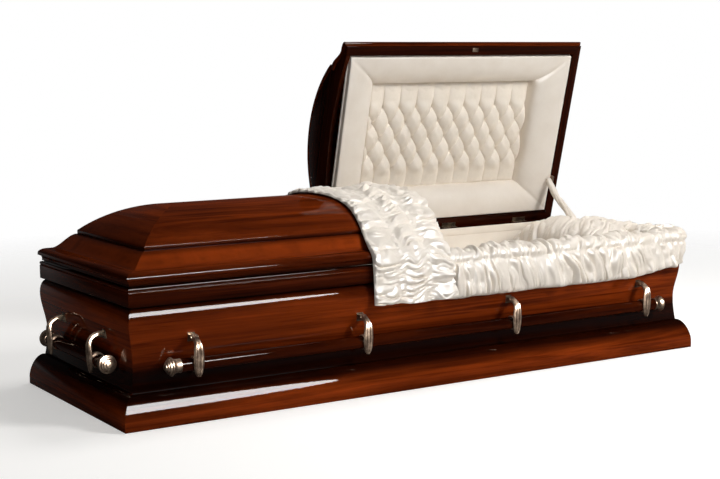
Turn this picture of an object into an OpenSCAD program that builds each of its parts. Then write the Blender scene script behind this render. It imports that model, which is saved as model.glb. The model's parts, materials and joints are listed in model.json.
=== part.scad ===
// Half-couch wooden funeral casket: the foot lid is closed, the head lid stands open
// x runs to the head end, the hinges are on the +y side, z = 0 is the underside

/* [Overall size] */
// Length over the base moulding
case_length = 2110; // [1750:5:2540]
// Width over the base moulding
case_width = 754; // [640:2:910]
// Width of the gap where the two lids meet
lid_split_gap = 5; // [3:1:10]

/* [Base and bottom] */
// Height of the base moulding
base_height = 97; // [80:1:120]
// Height of the upright foot of the base moulding
base_foot = 24; // [15:1:40]
// How far the top of the base moulding is set in
base_setback = 38; // [30:0.5:39]
// Thickness of the bottom board
bottom_thickness = 18; // [12:1:25]

/* [Side and end panels] */
// Height of the panels
panel_height = 234; // [195:1:285]
// Set-in of the bottom of the panels
panel_foot_setback = 39.5; // [39:0.5:45]
// Height of the waist above the base moulding
waist_height = 83; // [65:1:100]
// Set-in of the waist
waist_setback = 46; // [42:0.5:50]
// Set-in of the shoulder, the widest part above the waist
shoulder_setback = 32; // [28:0.5:36]
// Height of the rounded shoulder
shoulder_height = 41; // [30:1:50]
// Depth of the rounded shoulder
shoulder_round = 16; // [13:0.5:20]
// Wood thickness of the panels at the waist
wall_thickness = 22; // [18:0.5:27]

/* [Rim rail] */
// Height of the shadow line under the rim rail
rim_reveal = 4; // [2:0.5:6]
// Height of the rim rail above the shadow line
rim_height = 53; // [44:1:64]
// Set-in of the face of the rim rail
rim_setback = 34; // [32:0.5:37]
// Depth of the cut line along the rim rail
rim_groove = 2.5; // [1:0.5:3]

/* [Lids] */
// Gap between the rim rail and a closed lid
lid_gap = 3; // [2.6:0.1:4]
// Set-in of the recess under the lip of a lid
lid_recess = 40; // [36:0.5:44]
// Set-in of the lip of a lid
lip_setback = 30; // [29:0.5:32]
// Height of the lip above the underside of a lid
lip_height = 23; // [20:1:28]
// Rise of the rounded nose of the lip
nose_rise = 16; // [12:1:20]
// Depth of the rounded nose of the lip
nose_depth = 30; // [20:1:36]
// Height of the curved moulding above the lip
ogee_height = 46; // [38:1:56]
// Depth of the curved moulding above the lip
ogee_depth = 65; // [55:1:78]
// Width of the flat underside of a lid rail
lid_rail_width = 32; // [26:1:36]
// Thickness of the moulding where it curves over
moulding_thickness = 18; // [14:1:22]
// Height of the upright edge of the crown
crown_edge = 11; // [9:1:14]
// Rise of the crown from its edge to its ridge
crown_rise = 90; // [75:1:108]
// Length of the sloping end of the crown
hip_length = 201; // [167:1:241]
// Width of the crown's seat on the moulding
crown_seat = 15; // [12:1:18]
// Thickness of the end boards of the lids
header_thickness = 15; // [12:1:20]
// Height of the arch under the end boards
header_arch = 44; // [36:1:52]
// Angle that the head lid stands open
open_angle = 75.6; // [60:0.1:85]

/* [Hinges] */
// Distance of the hinges from the middle of the casket
hinge_x = 532; // [400:1:600]
// Length of a hinge
hinge_length = 60; // [50:1:75]
// Width of a hinge leaf
hinge_leaf_width = 36; // [32:1:42]
// Radius of the hinge barrel
hinge_radius = 4; // [3.5:0.1:5]
// Radius of the hinge pin
hinge_pin_radius = 2; // [1.6:0.1:2.4]
// Set-in of the hinge barrel
hinge_setback = 41; // [40.5:0.5:42]

/* [Handles] */
// Distance from the middle to the inner arms of a long handle
inner_arm_x = 280; // [235:1:335]
// Distance from the middle to the outer arms of a long handle
outer_arm_x = 835; // [700:1:860]
// Distance from the middle to the arms of an end handle
end_arm_y = 157; // [130:1:185]
// Distance from the middle to the end of a long bar
long_bar_reach = 905; // [890:1:940]
// Distance from the middle to the end of an end bar
end_bar_reach = 228; // [210:1:250]
// Diameter of the wooden bar
bar_diameter = 37; // [31:0.5:39]
// Height of the bar's centre line
bar_height = 165; // [155:1:175]
// Distance of the bar's centre line out from the waist
bar_stand_off = 33; // [30:0.5:36]
// Height of the pivot pins
pivot_height = 238; // [232:1:245]
// Distance of the pivot pins out from the waist
pivot_stand_off = 22; // [20:0.5:25]
// Radius of the pivot pins
pivot_radius = 3; // [2.5:0.1:3.5]
// Width of the eye at the top of an arm
eye_width = 15; // [12:1:18]
// Radius of the eye at the top of an arm
eye_radius = 8.5; // [7:0.5:9]
// Thickness of the cheeks of a lug
cheek_thickness = 4; // [3:0.5:6]
// Widest half width of an arm
arm_half_width = 14; // [12:0.5:17]
// Thickness of an arm
arm_thickness = 11; // [9:0.5:13]
// Wall of the ring that holds the bar
ring_wall = 4; // [3:0.5:5]
// Width of the ring that holds the bar
ring_width = 18; // [14:1:22]
// Radius of the flange of a bar tip
tip_flange_radius = 27; // [24:0.5:30]

/* [Bed and cloth] */
// Length of the mattress
mattress_length = 1930; // [1600:10:1950]
// Width of the mattress
mattress_width = 580; // [480:5:590]
// Thickness of the mattress
mattress_thickness = 100; // [80:5:105]
// Height of the top of the bed frame
bed_height = 168; // [140:1:172]
// Thickness of the bed frame's deck
deck_thickness = 18; // [12:1:22]
// Side of the bed frame's square legs
leg_side = 45; // [35:1:60]
// Length of the pillow along the casket
pillow_length = 240; // [200:5:290]
// Width of the pillow across the casket
pillow_width = 470; // [400:5:500]
// Thickness of the pillow
pillow_thickness = 112; // [80:1:114]
// Thickness of the body lining
lining_thickness = 6; // [4:0.5:6.5]
// Thickness of the cloth that hangs outside the rim
skirt_thickness = 14; // [10:1:14]
// Height of the hem of the outside cloth
hem_height = 262; // [255:1:275]
// Thickness of the cloth laid over the foot lid
throw_thickness = 8; // [6:0.5:10]
// Length of the cloth laid over the foot lid
throw_length = 230; // [190:1:275]
// How far the front of that cloth reaches past the lid
apron_reach = 76; // [40:1:78]
// Distance from the middle to the start of the outside cloth
skirt_start = 80; // [79:1:120]
// How far the outside cloth goes along the head end towards the hinges
skirt_end = 160; // [100:5:165]
// Width of the padded roll inside the head lid
roll_width = 112; // [95:1:130]
// Depth of the tufted panel inside the head lid
panel_depth = 60; // [52:1:66]
// Thickness of the tufted panel
tuft_thickness = 20; // [16:1:24]

/* [Lid stay] */
// Distance from the hinge line to the stay's pivot
stay_pivot = 160; // [145:1:175]
// Length of the lid stay
stay_length = 203; // [190:1:225]
// Radius of the cloth sleeve on the stay
stay_radius = 8; // [7:0.5:8.5]
// Angle of the stay from level when the head lid is open
stay_angle = 47.7; // [40:0.1:50]

/* [Hidden] */
steps = 10;
a = case_length / 2;
b = case_width / 2;
wall_in = waist_setback + wall_thickness;
panel_z0 = base_height;
panel_z1 = panel_z0 + panel_height;
rim_z0 = panel_z1 + rim_reveal;
rim_z1 = rim_z0 + rim_height;
lid_z0 = rim_z1 + lid_gap;
lip_z1 = lid_z0 + lip_height;
ogee_o = lip_setback + nose_depth;
ogee_z = lip_z1 + nose_rise;
crown_o = ogee_o + ogee_depth;
crown_z0 = ogee_z + ogee_height;
crown_z1 = crown_z0 + crown_edge;
ridge_z = crown_z1 + crown_rise;
lid_in = lid_recess + lid_rail_width;
lid_cut = lid_split_gap / 2;
hinge_y = b - hinge_setback;
hinge_z = rim_z1 + lid_gap / 2;
reach_in = crown_o + crown_seat;
big = 4000;
fit = 0.2;
cloth_gap = 0.6;
turn_gap = 0.35;
pivot_o = waist_setback - pivot_stand_off;
bar_o = waist_setback - bar_stand_off;
bar_radius = bar_diameter / 2;
ring_radius = bar_radius + fit + ring_wall;
web_z0 = rim_z1 + 0.4;
web_z1 = rim_z1 + lid_gap - 2;
stay_x = a - lid_in - 13 - stay_radius;
stay_pivot_drop = stay_radius + 1.5 - lid_gap / 2;
wood = [0.33, 0.10, 0.04];
brass = [0.45, 0.37, 0.26];
cloth = [0.93, 0.90, 0.82];
plain_wood = [0.72, 0.56, 0.36];

// ---------- profiles, as lists of [set-in, height] ----------

function soft(u) = u * u * (3 - 2 * u);

function base_profile() = concat(
    [[0, 0], [0, base_foot]],
    [for (i = [1:steps]) let (t = 90 * i / steps)
        [base_setback * pow(1 - cos(t), 0.8),
         base_foot + (base_height - base_foot) * sin(t)]],
    [[wall_in, base_height], [wall_in, 0]]);

function panel_profile() = concat(
    [for (i = [0:steps]) let (u = 1 - i / steps)
        [panel_foot_setback + (waist_setback - panel_foot_setback) * (1 - u * u),
         panel_z0 + waist_height * (1 - u)]],
    [for (i = [1:steps]) let (u = i / steps)
        [waist_setback - (waist_setback - shoulder_setback) * soft(u),
         panel_z0 + waist_height
         + (panel_height - waist_height - shoulder_height) * u]],
    [for (i = [1:steps]) let (t = 90 * i / steps)
        [shoulder_setback + shoulder_round * (1 - cos(t)),
         panel_z1 - shoulder_height * (1 - sin(t))]],
    [[wall_in, panel_z1], [wall_in, panel_z0]]);

function rim_profile() = let (
    o = rim_setback,
    seat = shoulder_setback + shoulder_round,
    g = rim_groove) [
    [seat, panel_z1], [seat, rim_z0], [o + 1, rim_z0], [o, rim_z0 + 1],
    [o, rim_z1 - 10 - g], [o + g, rim_z1 - 10], [o, rim_z1 - 10 + g],
    [o, rim_z1 - 4], [o + 1.2, rim_z1 - 1.2], [o + 4, rim_z1],
    [wall_in, rim_z1], [wall_in, panel_z1]];

function lip_profile() = let (r = lid_recess - lip_setback) concat(
    [[lid_recess, lid_z0]],
    [for (i = [0:5]) let (t = 18 * i)
        [lip_setback + r * cos(t), lip_z1 - 6 - r + r * sin(t)]],
    [for (i = [0:steps]) let (t = 90 * i / steps)
        [ogee_o - nose_depth * cos(t), lip_z1 + nose_rise * sin(t)]],
    [for (i = [1:steps]) let (u = i / steps)
        [ogee_o + ogee_depth * u, ogee_z + ogee_height * soft(u)]]);

function moulding_inside() = [
    [reach_in, crown_z0],
    [reach_in, crown_z0 - moulding_thickness + 2],
    [lid_in + 40, ogee_z + 20],
    [lid_in + 20, ogee_z],
    [lid_in, lip_z1 + 2],
    [lid_in, lid_z0]];

function lid_profile() = concat(lip_profile(), moulding_inside());

// ---------- mitred members ----------

// A mitred member along the whole front
module full_front(p) {
    intersection() {
        translate([-big / 2, -b, 0])
            rotate([90, 0, 90])
                linear_extrude(height = big) polygon(p);
        linear_extrude(height = 700)
            polygon([[-a, -b], [a, -b], [a - 160, -b + 160], [-a + 160, -b + 160]]);
    }
}

// A mitred member along the foot end
module full_end(p) {
    intersection() {
        translate([-a, big / 2, 0])
            rotate([90, 0, 0])
                linear_extrude(height = big) polygon(p);
        linear_extrude(height = 700)
            polygon([[-a, -b], [-a + 160, -b + 160], [-a + 160, b - 160], [-a, b]]);
    }
}

module frame(p) {
    union() {
        full_front(p);
        mirror([0, 1, 0]) full_front(p);
        full_end(p);
        mirror([1, 0, 0]) full_end(p);
    }
}

// ---------- shell ----------

module bottom_board() {
    color(wood)
        translate([-a + wall_in, -b + wall_in, 0])
            cube([2 * (a - wall_in), 2 * (b - wall_in), bottom_thickness]);
}

module base_moulding() {
    color(wood) frame(base_profile());
}

module side_panel() {
    full_front(panel_profile());
}

module side_panel_front() {
    color(wood) side_panel();
}

module side_panel_back() {
    color(wood) mirror([0, 1, 0]) side_panel();
}

module end_panel_foot() {
    color(wood) full_end(panel_profile());
}

module end_panel_head() {
    color(wood) mirror([1, 0, 0]) full_end(panel_profile());
}

// Room for the barrel of the hinge at x, cut half into the rim and half into the lid
module hinge_groove(x) {
    translate([x, hinge_y, hinge_z]) x_rod(hinge_radius + turn_gap, hinge_length + 2);
}

module rim_rail() {
    color(wood) difference() {
        frame(rim_profile());
        hinge_groove(-hinge_x);
        hinge_groove(hinge_x);
    }
}

// ---------- bed and cloth inside the shell ----------

module bed_frame() {
    w = mattress_width - 20;
    l = mattress_length - 20;
    color(plain_wood) union() {
        translate([-l / 2, -w / 2, bed_height - deck_thickness])
            cube([l, w, deck_thickness]);
        for (x = [-l / 2, -leg_side / 2, l / 2 - leg_side])
            for (y = [-w / 2, w / 2 - leg_side])
                translate([x, y, bottom_thickness])
                    cube([leg_side, leg_side, bed_height - bottom_thickness - 1]);
    }
}

module mattress() {
    color(cloth)
        translate([-mattress_length / 2, -mattress_width / 2, bed_height + cloth_gap])
            cube([mattress_length, mattress_width, mattress_thickness]);
}

module pillow() {
    color(cloth)
        translate([stay_x - stay_radius - 5 - pillow_length, -pillow_width / 2,
                   bed_height + mattress_thickness + 2 * cloth_gap])
            cube([pillow_length, pillow_width, pillow_thickness]);
}

module body_lining() {
    o0 = wall_in + cloth_gap;
    o1 = o0 + lining_thickness;
    z0 = bed_height + 12;
    h = rim_z1 - 16 - z0;
    color(cloth) difference() {
        translate([-a + o0, -b + o0, z0])
            cube([2 * (a - o0), 2 * (b - o0), h]);
        translate([-a + o1, -b + o1, z0 - 1])
            cube([2 * (a - o1), 2 * (b - o1), h + 2]);
    }
}

// Cloth folded over the rim: it hangs outside, lies on the rim and turns down inside
module rim_skirt() {
    outer = min(rim_setback, shoulder_setback) - cloth_gap;
    inner = wall_in + lining_thickness + 2 * cloth_gap;
    p = [
        [outer - skirt_thickness, hem_height], [outer, hem_height],
        [outer, web_z0], [inner, web_z0], [inner, rim_z1 - 58],
        [inner + 3.4, rim_z1 - 58], [inner + 3.4, web_z1],
        [outer - skirt_thickness, web_z1]];
    color(cloth) union() {
        intersection() {
            full_front(p);
            translate([skirt_start, -b, 0]) cube([a, b, 700]);
        }
        intersection() {
            mirror([1, 0, 0]) full_end(p);
            translate([0, -b, 0]) cube([a, b + skirt_end, 700]);
        }
    }
}

// ---------- handles, each made on the front and then set in place ----------

module to_front() {
    translate([0, -b, 0]) children();
}

module to_back() {
    mirror([0, 1, 0]) translate([0, -b, 0]) children();
}

module to_foot() {
    translate([-a, 0, 0]) rotate([0, 0, -90]) children();
}

module to_head() {
    mirror([1, 0, 0]) translate([-a, 0, 0]) rotate([0, 0, -90]) children();
}

module x_rod(r, w) {
    translate([-w / 2, 0, 0])
        rotate([0, 90, 0]) cylinder(h = w, r = r, $fn = 64);
}

// Lug: a foot on the panel, two cheeks and the pin between them
module lug() {
    w = eye_width + 1 + 2 * cheek_thickness;
    back = waist_setback + 2;
    color(brass) difference() {
        union() {
            difference() {
                union() {
                    translate([0, pivot_o, pivot_height]) x_rod(eye_radius + 1, w);
                    translate([-w / 2, pivot_o, pivot_height - eye_radius - 1])
                        cube([w, back - pivot_o, 2 * eye_radius + 2]);
                    translate([-w / 2, pivot_o + eye_radius + 3, pivot_height - 18])
                        cube([w, back - pivot_o - eye_radius - 3, 36]);
                }
                translate([-eye_width / 2 - 0.5, pivot_o - eye_radius - 2,
                           pivot_height - eye_radius - 4])
                    cube([eye_width + 1, 2 * eye_radius + 3.5, 2 * eye_radius + 8]);
            }
            translate([0, pivot_o, pivot_height]) x_rod(pivot_radius, w - 1);
        }
        translate([-big / 2, 0, 0])
            rotate([90, 0, 90])
                linear_extrude(height = big) polygon(panel_profile());
    }
}

// Centre line of an arm, as [set-in, height], from the eye down past the bar
function arm_line() = let (
    o0 = pivot_o,
    o1 = bar_o - bar_radius - arm_thickness / 2 + 1,
    z0 = pivot_height,
    z1 = bar_height - 34)
    concat(
        [for (i = [0:6]) let (t = 15 * i)
            [o0 - (o0 - o1) * sin(t), z0 - 30 * (1 - cos(t))]],
        [for (i = [1:6]) let (u = i / 6)
            [o1 + 3.5 * u * u, z0 - 30 - (z0 - 30 - z1) * u]]);

function arm_taper(i) = arm_thickness / 2 * (1 - 0.3 * pow(i / 12, 4));

// Unit step along the line at point i
function along(l, i) = let (
    p = l[max(i - 1, 0)],
    q = l[min(i + 1, len(l) - 1)],
    d = q - p) d / norm(d);

function arm_side() = let (l = arm_line(), n = len(l)) concat(
    [for (i = [0:n - 1]) let (d = along(l, i))
        l[i] + arm_taper(i) * [d[1], -d[0]]],
    [for (i = [n - 1:-1:0]) let (d = along(l, i))
        l[i] - arm_taper(i) * [d[1], -d[0]]]);

// Half width of an arm, t running from the neck at 0 to the foot at 1
function arm_half(t) = eye_width / 2
    + (arm_half_width - eye_width / 2) * pow(sin(180 * t), 0.8) - 1.5 * t * t;

function arm_outline() = let (
    top = pivot_height + eye_radius + 4,
    z0 = pivot_height - eye_radius - 3,
    z1 = bar_height - 38,
    n = 14) concat(
    [[eye_width / 2, top]],
    [for (i = [0:n]) let (t = i / n) [arm_half(t), z0 - (z0 - z1) * t]],
    [for (i = [n:-1:0]) let (t = i / n) [-arm_half(t), z0 - (z0 - z1) * t]],
    [[-eye_width / 2, top]]);

// Arm: a leaf-shaped casting with an eye at the top and a ring behind for the bar
module arm() {
    color(brass) difference() {
        union() {
            intersection() {
                translate([-40, 0, 0])
                    rotate([90, 0, 90])
                        linear_extrude(height = 80) polygon(arm_side());
                translate([0, 90, 0])
                    rotate([90, 0, 0])
                        linear_extrude(height = 180) polygon(arm_outline());
            }
            translate([0, pivot_o, pivot_height]) x_rod(eye_radius, eye_width);
            translate([0, bar_o, bar_height]) x_rod(ring_radius, ring_width);
        }
        translate([0, pivot_o, pivot_height]) x_rod(pivot_radius + turn_gap, 60);
        translate([0, bar_o, bar_height]) x_rod(bar_radius + fit, 80);
    }
}

// Half outline of a tip, as [distance past the bar's end, radius]
function tip_profile(f) = [
    [-22, 0], [-22, bar_radius + 2], [-3, bar_radius + 2],
    [0, bar_radius + 4], [3, f - 2], [6, f], [9, f - 1], [11, f - 5],
    [14, f - 6], [16, f - 10], [19, f - 12], [22, f - 15], [24, f - 20], [25, 0]];

module tip() {
    rotate([0, 90, 0])
        rotate_extrude($fn = 64)
            polygon([for (q = tip_profile(tip_flange_radius)) [q[1], q[0]]]);
}

// Bar with a metal tip pressed on each end
module bar(reach) {
    color(wood)
        translate([0, bar_o, bar_height]) union() {
            x_rod(bar_radius, 2 * reach);
            translate([reach, 0, 0]) tip();
            mirror([1, 0, 0]) translate([reach, 0, 0]) tip();
        }
}

module at(x) {
    translate([x, 0, 0]) children();
}

module lug_front_1() { to_front() at(-outer_arm_x) lug(); }
module lug_front_2() { to_front() at(-inner_arm_x) lug(); }
module lug_front_3() { to_front() at(inner_arm_x) lug(); }
module lug_front_4() { to_front() at(outer_arm_x) lug(); }
module lug_back_1() { to_back() at(-outer_arm_x) lug(); }
module lug_back_2() { to_back() at(-inner_arm_x) lug(); }
module lug_back_3() { to_back() at(inner_arm_x) lug(); }
module lug_back_4() { to_back() at(outer_arm_x) lug(); }
module lug_foot_1() { to_foot() at(-end_arm_y) lug(); }
module lug_foot_2() { to_foot() at(end_arm_y) lug(); }
module lug_head_1() { to_head() at(-end_arm_y) lug(); }
module lug_head_2() { to_head() at(end_arm_y) lug(); }
module arm_front_1() { to_front() at(-outer_arm_x) arm(); }
module arm_front_2() { to_front() at(-inner_arm_x) arm(); }
module arm_front_3() { to_front() at(inner_arm_x) arm(); }
module arm_front_4() { to_front() at(outer_arm_x) arm(); }
module arm_back_1() { to_back() at(-outer_arm_x) arm(); }
module arm_back_2() { to_back() at(-inner_arm_x) arm(); }
module arm_back_3() { to_back() at(inner_arm_x) arm(); }
module arm_back_4() { to_back() at(outer_arm_x) arm(); }
module arm_foot_1() { to_foot() at(-end_arm_y) arm(); }
module arm_foot_2() { to_foot() at(end_arm_y) arm(); }
module arm_head_1() { to_head() at(-end_arm_y) arm(); }
module arm_head_2() { to_head() at(end_arm_y) arm(); }
module bar_front() { to_front() bar(long_bar_reach); }
module bar_back() { to_back() bar(long_bar_reach); }
module bar_foot() { to_foot() bar(end_bar_reach); }
module bar_head() { to_head() bar(end_bar_reach); }

// ---------- lids, made closed over the foot half ----------

module foot_half() {
    translate([-big - lid_cut, -big / 2, 0]) cube([big, big, 700]);
}

module lid_rail_front() {
    intersection() {
        full_front(lid_profile());
        foot_half();
    }
}

module lid_rail_back() {
    difference() {
        mirror([0, 1, 0]) lid_rail_front();
        hinge_groove(-hinge_x);
    }
}

module lid_rail_end() {
    full_end(lid_profile());
}

function arc_radius(half, rise) = (half * half + rise * rise) / (2 * rise);

// Cross section of the vault, with its flat bottom at z0 and its spring line at z1
module vault_section(half, z0, z1, top) {
    r = arc_radius(half, top - z1);
    intersection() {
        translate([0, top - r]) circle(r = r, $fn = 240);
        translate([-half, z0]) square([2 * half, big]);
    }
}

// Lengthwise section: an arc up from the end, then open above the ridge
module hip_section(x0, z0, z1, xk, top) {
    xc = xk + 29;
    zc = (top + z1 - ((x0 - xc) * (x0 - xc) - (xk - xc) * (xk - xc)) / (top - z1)) / 2;
    r = sqrt((x0 - xc) * (x0 - xc) + (z1 - zc) * (z1 - zc));
    union() {
        intersection() {
            translate([xc, zc]) circle(r = r, $fn = 240);
            translate([x0, z0]) square([xk + 5 - x0, big]);
        }
        translate([xk, z0]) square([big, top + 60 - z0]);
    }
}

module vault(o, z0, z1, top, hip, past) {
    intersection() {
        translate([-a + o - 10, 0, 0])
            rotate([90, 0, 90])
                linear_extrude(height = a - o + 10 + past)
                    vault_section(b - o, z0, z1, top);
        translate([0, b + 20, 0])
            rotate([90, 0, 0])
                linear_extrude(height = 2 * b + 40)
                    hip_section(-a + o, z0, z1, -a + crown_o + hip, top + 0.3);
    }
}

module lid_crown() {
    difference() {
        vault(crown_o, crown_z0, crown_z1, ridge_z, hip_length, -lid_cut);
        vault(reach_in, crown_z0 - 1, crown_z0, ridge_z - crown_edge,
              hip_length + 5, 20);
    }
}

// Points along an arc over the middle, from +half to -half; rise is its height
function arc_points(half, rise, z, n) = let (r = arc_radius(half, rise)) [
    for (i = [0:n]) let (y = half * (1 - 2 * i / n))
        [y, z + rise - r + sqrt(r * r - y * y)]];

// Right-hand edge of an end board, from its foot up to the crown
function header_edge() = let (l = moulding_inside(), n = len(l)) [
    for (i = [n - 1:-1:1]) [b - l[i][0] - fit, l[i][1] - fit]];

// End board of a lid at the split, arched underneath
module lid_header() {
    top = arc_points(b - reach_in - fit, ridge_z - crown_edge - crown_z0,
                     crown_z0 - fit, 4 * steps);
    arch = arc_points(b - lid_in - 3, header_arch, lid_z0, 3 * steps);
    edge = header_edge();
    color(wood) translate([-lid_cut - header_thickness, 0, 0])
        rotate([90, 0, 90])
            linear_extrude(height = header_thickness)
                polygon(concat(
                    edge, top,
                    [for (i = [len(edge) - 1:-1:0]) [-edge[i][0], edge[i][1]]],
                    [for (i = [len(arch) - 1:-1:0]) arch[i]]));
}

module foot_lid_rail_front() { color(wood) lid_rail_front(); }
module foot_lid_rail_back() { color(wood) lid_rail_back(); }
module foot_lid_rail_end() { color(wood) lid_rail_end(); }
module foot_lid_header() { color(wood) lid_header(); }
module foot_lid_crown() { color(wood) lid_crown(); }

// Turns a lid part from closed over the head half to standing open
module opened() {
    translate([0, hinge_y, hinge_z])
        rotate([-open_angle, 0, 0])
            translate([0, -hinge_y, -hinge_z]) children();
}

module over_head() {
    opened() mirror([1, 0, 0]) children();
}

module head_lid_rail_front() { color(wood) over_head() lid_rail_front(); }
module head_lid_rail_back() { color(wood) over_head() lid_rail_back(); }
module head_lid_rail_end() { color(wood) over_head() lid_rail_end(); }
module head_lid_header() { color(wood) over_head() lid_header(); }
module head_lid_crown() { color(wood) over_head() lid_crown(); }

// ---------- upholstery of the head lid ----------

cap_x0 = lid_cut + header_thickness + cloth_gap;
cap_x1 = a - lid_in - cloth_gap;
cap_y = b - lid_in - cloth_gap;

// Section of the padded roll, as [distance in from its edge, height]
function roll_section() = let (z = lid_z0 + 1, w = roll_width, d = panel_depth) [
    [0, z], [w * 0.27, z + d * 0.1], [w * 0.54, z + d * 0.35], [w * 0.8, z + d * 0.7],
    [w, z + d], [w, z + d + 14], [w * 0.6, crown_z0 - moulding_thickness],
    [38, ogee_z + 16], [18, ogee_z - 5], [0, lip_z1]];

module roll_side(x0, x1, y) {
    w = roll_width;
    intersection() {
        translate([-big / 2, -y, 0])
            rotate([90, 0, 90])
                linear_extrude(height = big) polygon(roll_section());
        linear_extrude(height = 700)
            polygon([[x0, -y], [x1, -y], [x1 - w, -y + w], [x0 + w, -y + w]]);
    }
}

module roll_end(x0, y) {
    w = roll_width;
    intersection() {
        translate([x0, big / 2, 0])
            rotate([90, 0, 0])
                linear_extrude(height = big) polygon(roll_section());
        linear_extrude(height = 700)
            polygon([[x0, -y], [x0 + w, -y + w], [x0 + w, y - w], [x0, y]]);
    }
}

module cap_roll() {
    color(cloth) opened() difference() {
        union() {
            roll_side(cap_x0, cap_x1, cap_y);
            mirror([0, 1, 0]) roll_side(cap_x0, cap_x1, cap_y);
            roll_end(cap_x0, cap_y);
            translate([cap_x0 + cap_x1, 0, 0])
                mirror([1, 0, 0]) roll_end(cap_x0, cap_y);
        }
        translate([cap_x1 - 24, hinge_y - stay_pivot - 20, lid_z0 - 10])
            cube([40, 40, 40]);
    }
}

module cap_panel() {
    w = roll_width + cloth_gap;
    color(cloth) opened()
        translate([cap_x0 + w, -cap_y + w, lid_z0 + panel_depth])
            cube([cap_x1 - cap_x0 - 2 * w, 2 * (cap_y - w), tuft_thickness]);
}

// ---------- cloth laid over the foot lid ----------

// Outside line of the lid across the casket, moved out by d
function over_side(d) = [for (q = lip_profile())
    if (q[1] > lip_z1 - 1) [-b + q[0] - d, q[1] + d]];

function over_crown(d) = let (
    h = b - crown_o,
    r = arc_radius(h, crown_rise)) concat(
    [[-h - d, crown_z0 + d]],
    [for (i = [0:steps]) let (y = -h + h * i / steps)
        [y - d * (1 - i / steps), ridge_z - r + sqrt(r * r - y * y) + d]]);

function over_half(d) = concat(over_side(d), over_crown(d));

function flip(l) = [for (i = [len(l) - 2:-1:0]) [-l[i][0], l[i][1]]];

function over_line(d) = concat(over_half(d), flip(over_half(d)));

module lid_throw() {
    d0 = cloth_gap;
    d1 = d0 + throw_thickness;
    near = over_line(d0);
    far = over_line(d1);
    color(cloth) union() {
        translate([-lid_cut - throw_length, 0, 0])
            rotate([90, 0, 90])
                linear_extrude(height = throw_length)
                    polygon(concat(
                        [[-b + lip_setback - d0, lip_z1 - 4]], near,
                        [for (i = [len(far) - 1:-1:0]) far[i]],
                        [[-b + lip_setback - d1, lip_z1 - 4]]));
        translate([-lid_cut - throw_length, -b + lip_setback - d1, hem_height + 2])
            cube([throw_length + apron_reach, d1 - d0 - 0.4, lip_z1 - hem_height]);
    }
}

// ---------- hinges ----------

// Leaf of a hinge with its knuckles; s is -1 for the leaf on the shell, 1 for the lid's
module hinge_leaf(s) {
    t = lid_gap / 2 - 0.2;
    third = hinge_length / 3;
    spans = s < 0 ? [-third, third] : [0];
    difference() {
        union() {
            translate([-hinge_length / 2, hinge_y - hinge_leaf_width,
                       s < 0 ? rim_z1 : lid_z0 - t])
                cube([hinge_length, hinge_leaf_width - hinge_radius - turn_gap, t]);
            for (x = spans) {
                translate([x, hinge_y, hinge_z]) x_rod(hinge_radius, third - turn_gap);
                translate([x - (third - turn_gap) / 2,
                           hinge_y - hinge_radius - 1, s < 0 ? rim_z1 : lid_z0 - t])
                    cube([third - turn_gap, hinge_radius + 1, t]);
            }
        }
        if (s > 0) translate([0, hinge_y, hinge_z])
            x_rod(hinge_pin_radius + turn_gap, third + 2);
    }
    if (s < 0) translate([0, hinge_y, hinge_z]) x_rod(hinge_pin_radius, 2 * third);
}

module foot_hinge_shell_leaf() {
    color(brass) translate([-hinge_x, 0, 0]) hinge_leaf(-1);
}

module foot_hinge_lid_leaf() {
    color(brass) translate([-hinge_x, 0, 0]) hinge_leaf(1);
}

module head_hinge_shell_leaf() {
    color(brass) translate([hinge_x, 0, 0]) hinge_leaf(-1);
}

module head_hinge_lid_leaf() {
    color(brass) opened() translate([hinge_x, 0, 0]) hinge_leaf(1);
}

// ---------- lid stay and catch ----------

stay_y = hinge_y - stay_pivot;
stay_z = lid_z0 - stay_pivot_drop - lid_gap / 2;

module stay_bracket() {
    x1 = a - lid_in;
    color(brass) opened() union() {
        translate([x1 - 6, stay_y - 15, stay_z - 6])
            cube([6, 30, lip_z1 - stay_z + 4]);
        translate([stay_x - stay_radius, stay_y, stay_z])
            rotate([0, 90, 0])
                cylinder(h = x1 - 3 - stay_x + stay_radius, r = 3, $fn = 48);
    }
}

// Centre of the stay's pivot when the head lid stands open
stay_open_y = hinge_y + (stay_y - hinge_y) * cos(open_angle)
    + (stay_z - hinge_z) * sin(open_angle);
stay_open_z = hinge_z - (stay_y - hinge_y) * sin(open_angle)
    + (stay_z - hinge_z) * cos(open_angle);

module lid_stay() {
    color(cloth)
        translate([stay_x, stay_open_y, stay_open_z])
            rotate([stay_angle, 0, 0])
                difference() {
                    union() {
                        rotate([90, 0, 0])
                            cylinder(h = stay_length, r = stay_radius, $fn = 48);
                        rotate([0, 90, 0])
                            cylinder(h = 2 * stay_radius, r = stay_radius,
                                     center = true, $fn = 48);
                    }
                    rotate([0, 90, 0])
                        cylinder(h = 60, r = 3 + turn_gap, center = true, $fn = 48);
                }
}

module catch_plate() {
    color(brass) opened()
        translate([hinge_x - 12, -b + lid_recess + 6, lid_z0 - 1.5])
            cube([24, 14, 1.5]);
}

// ---------- the whole casket ----------

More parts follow.
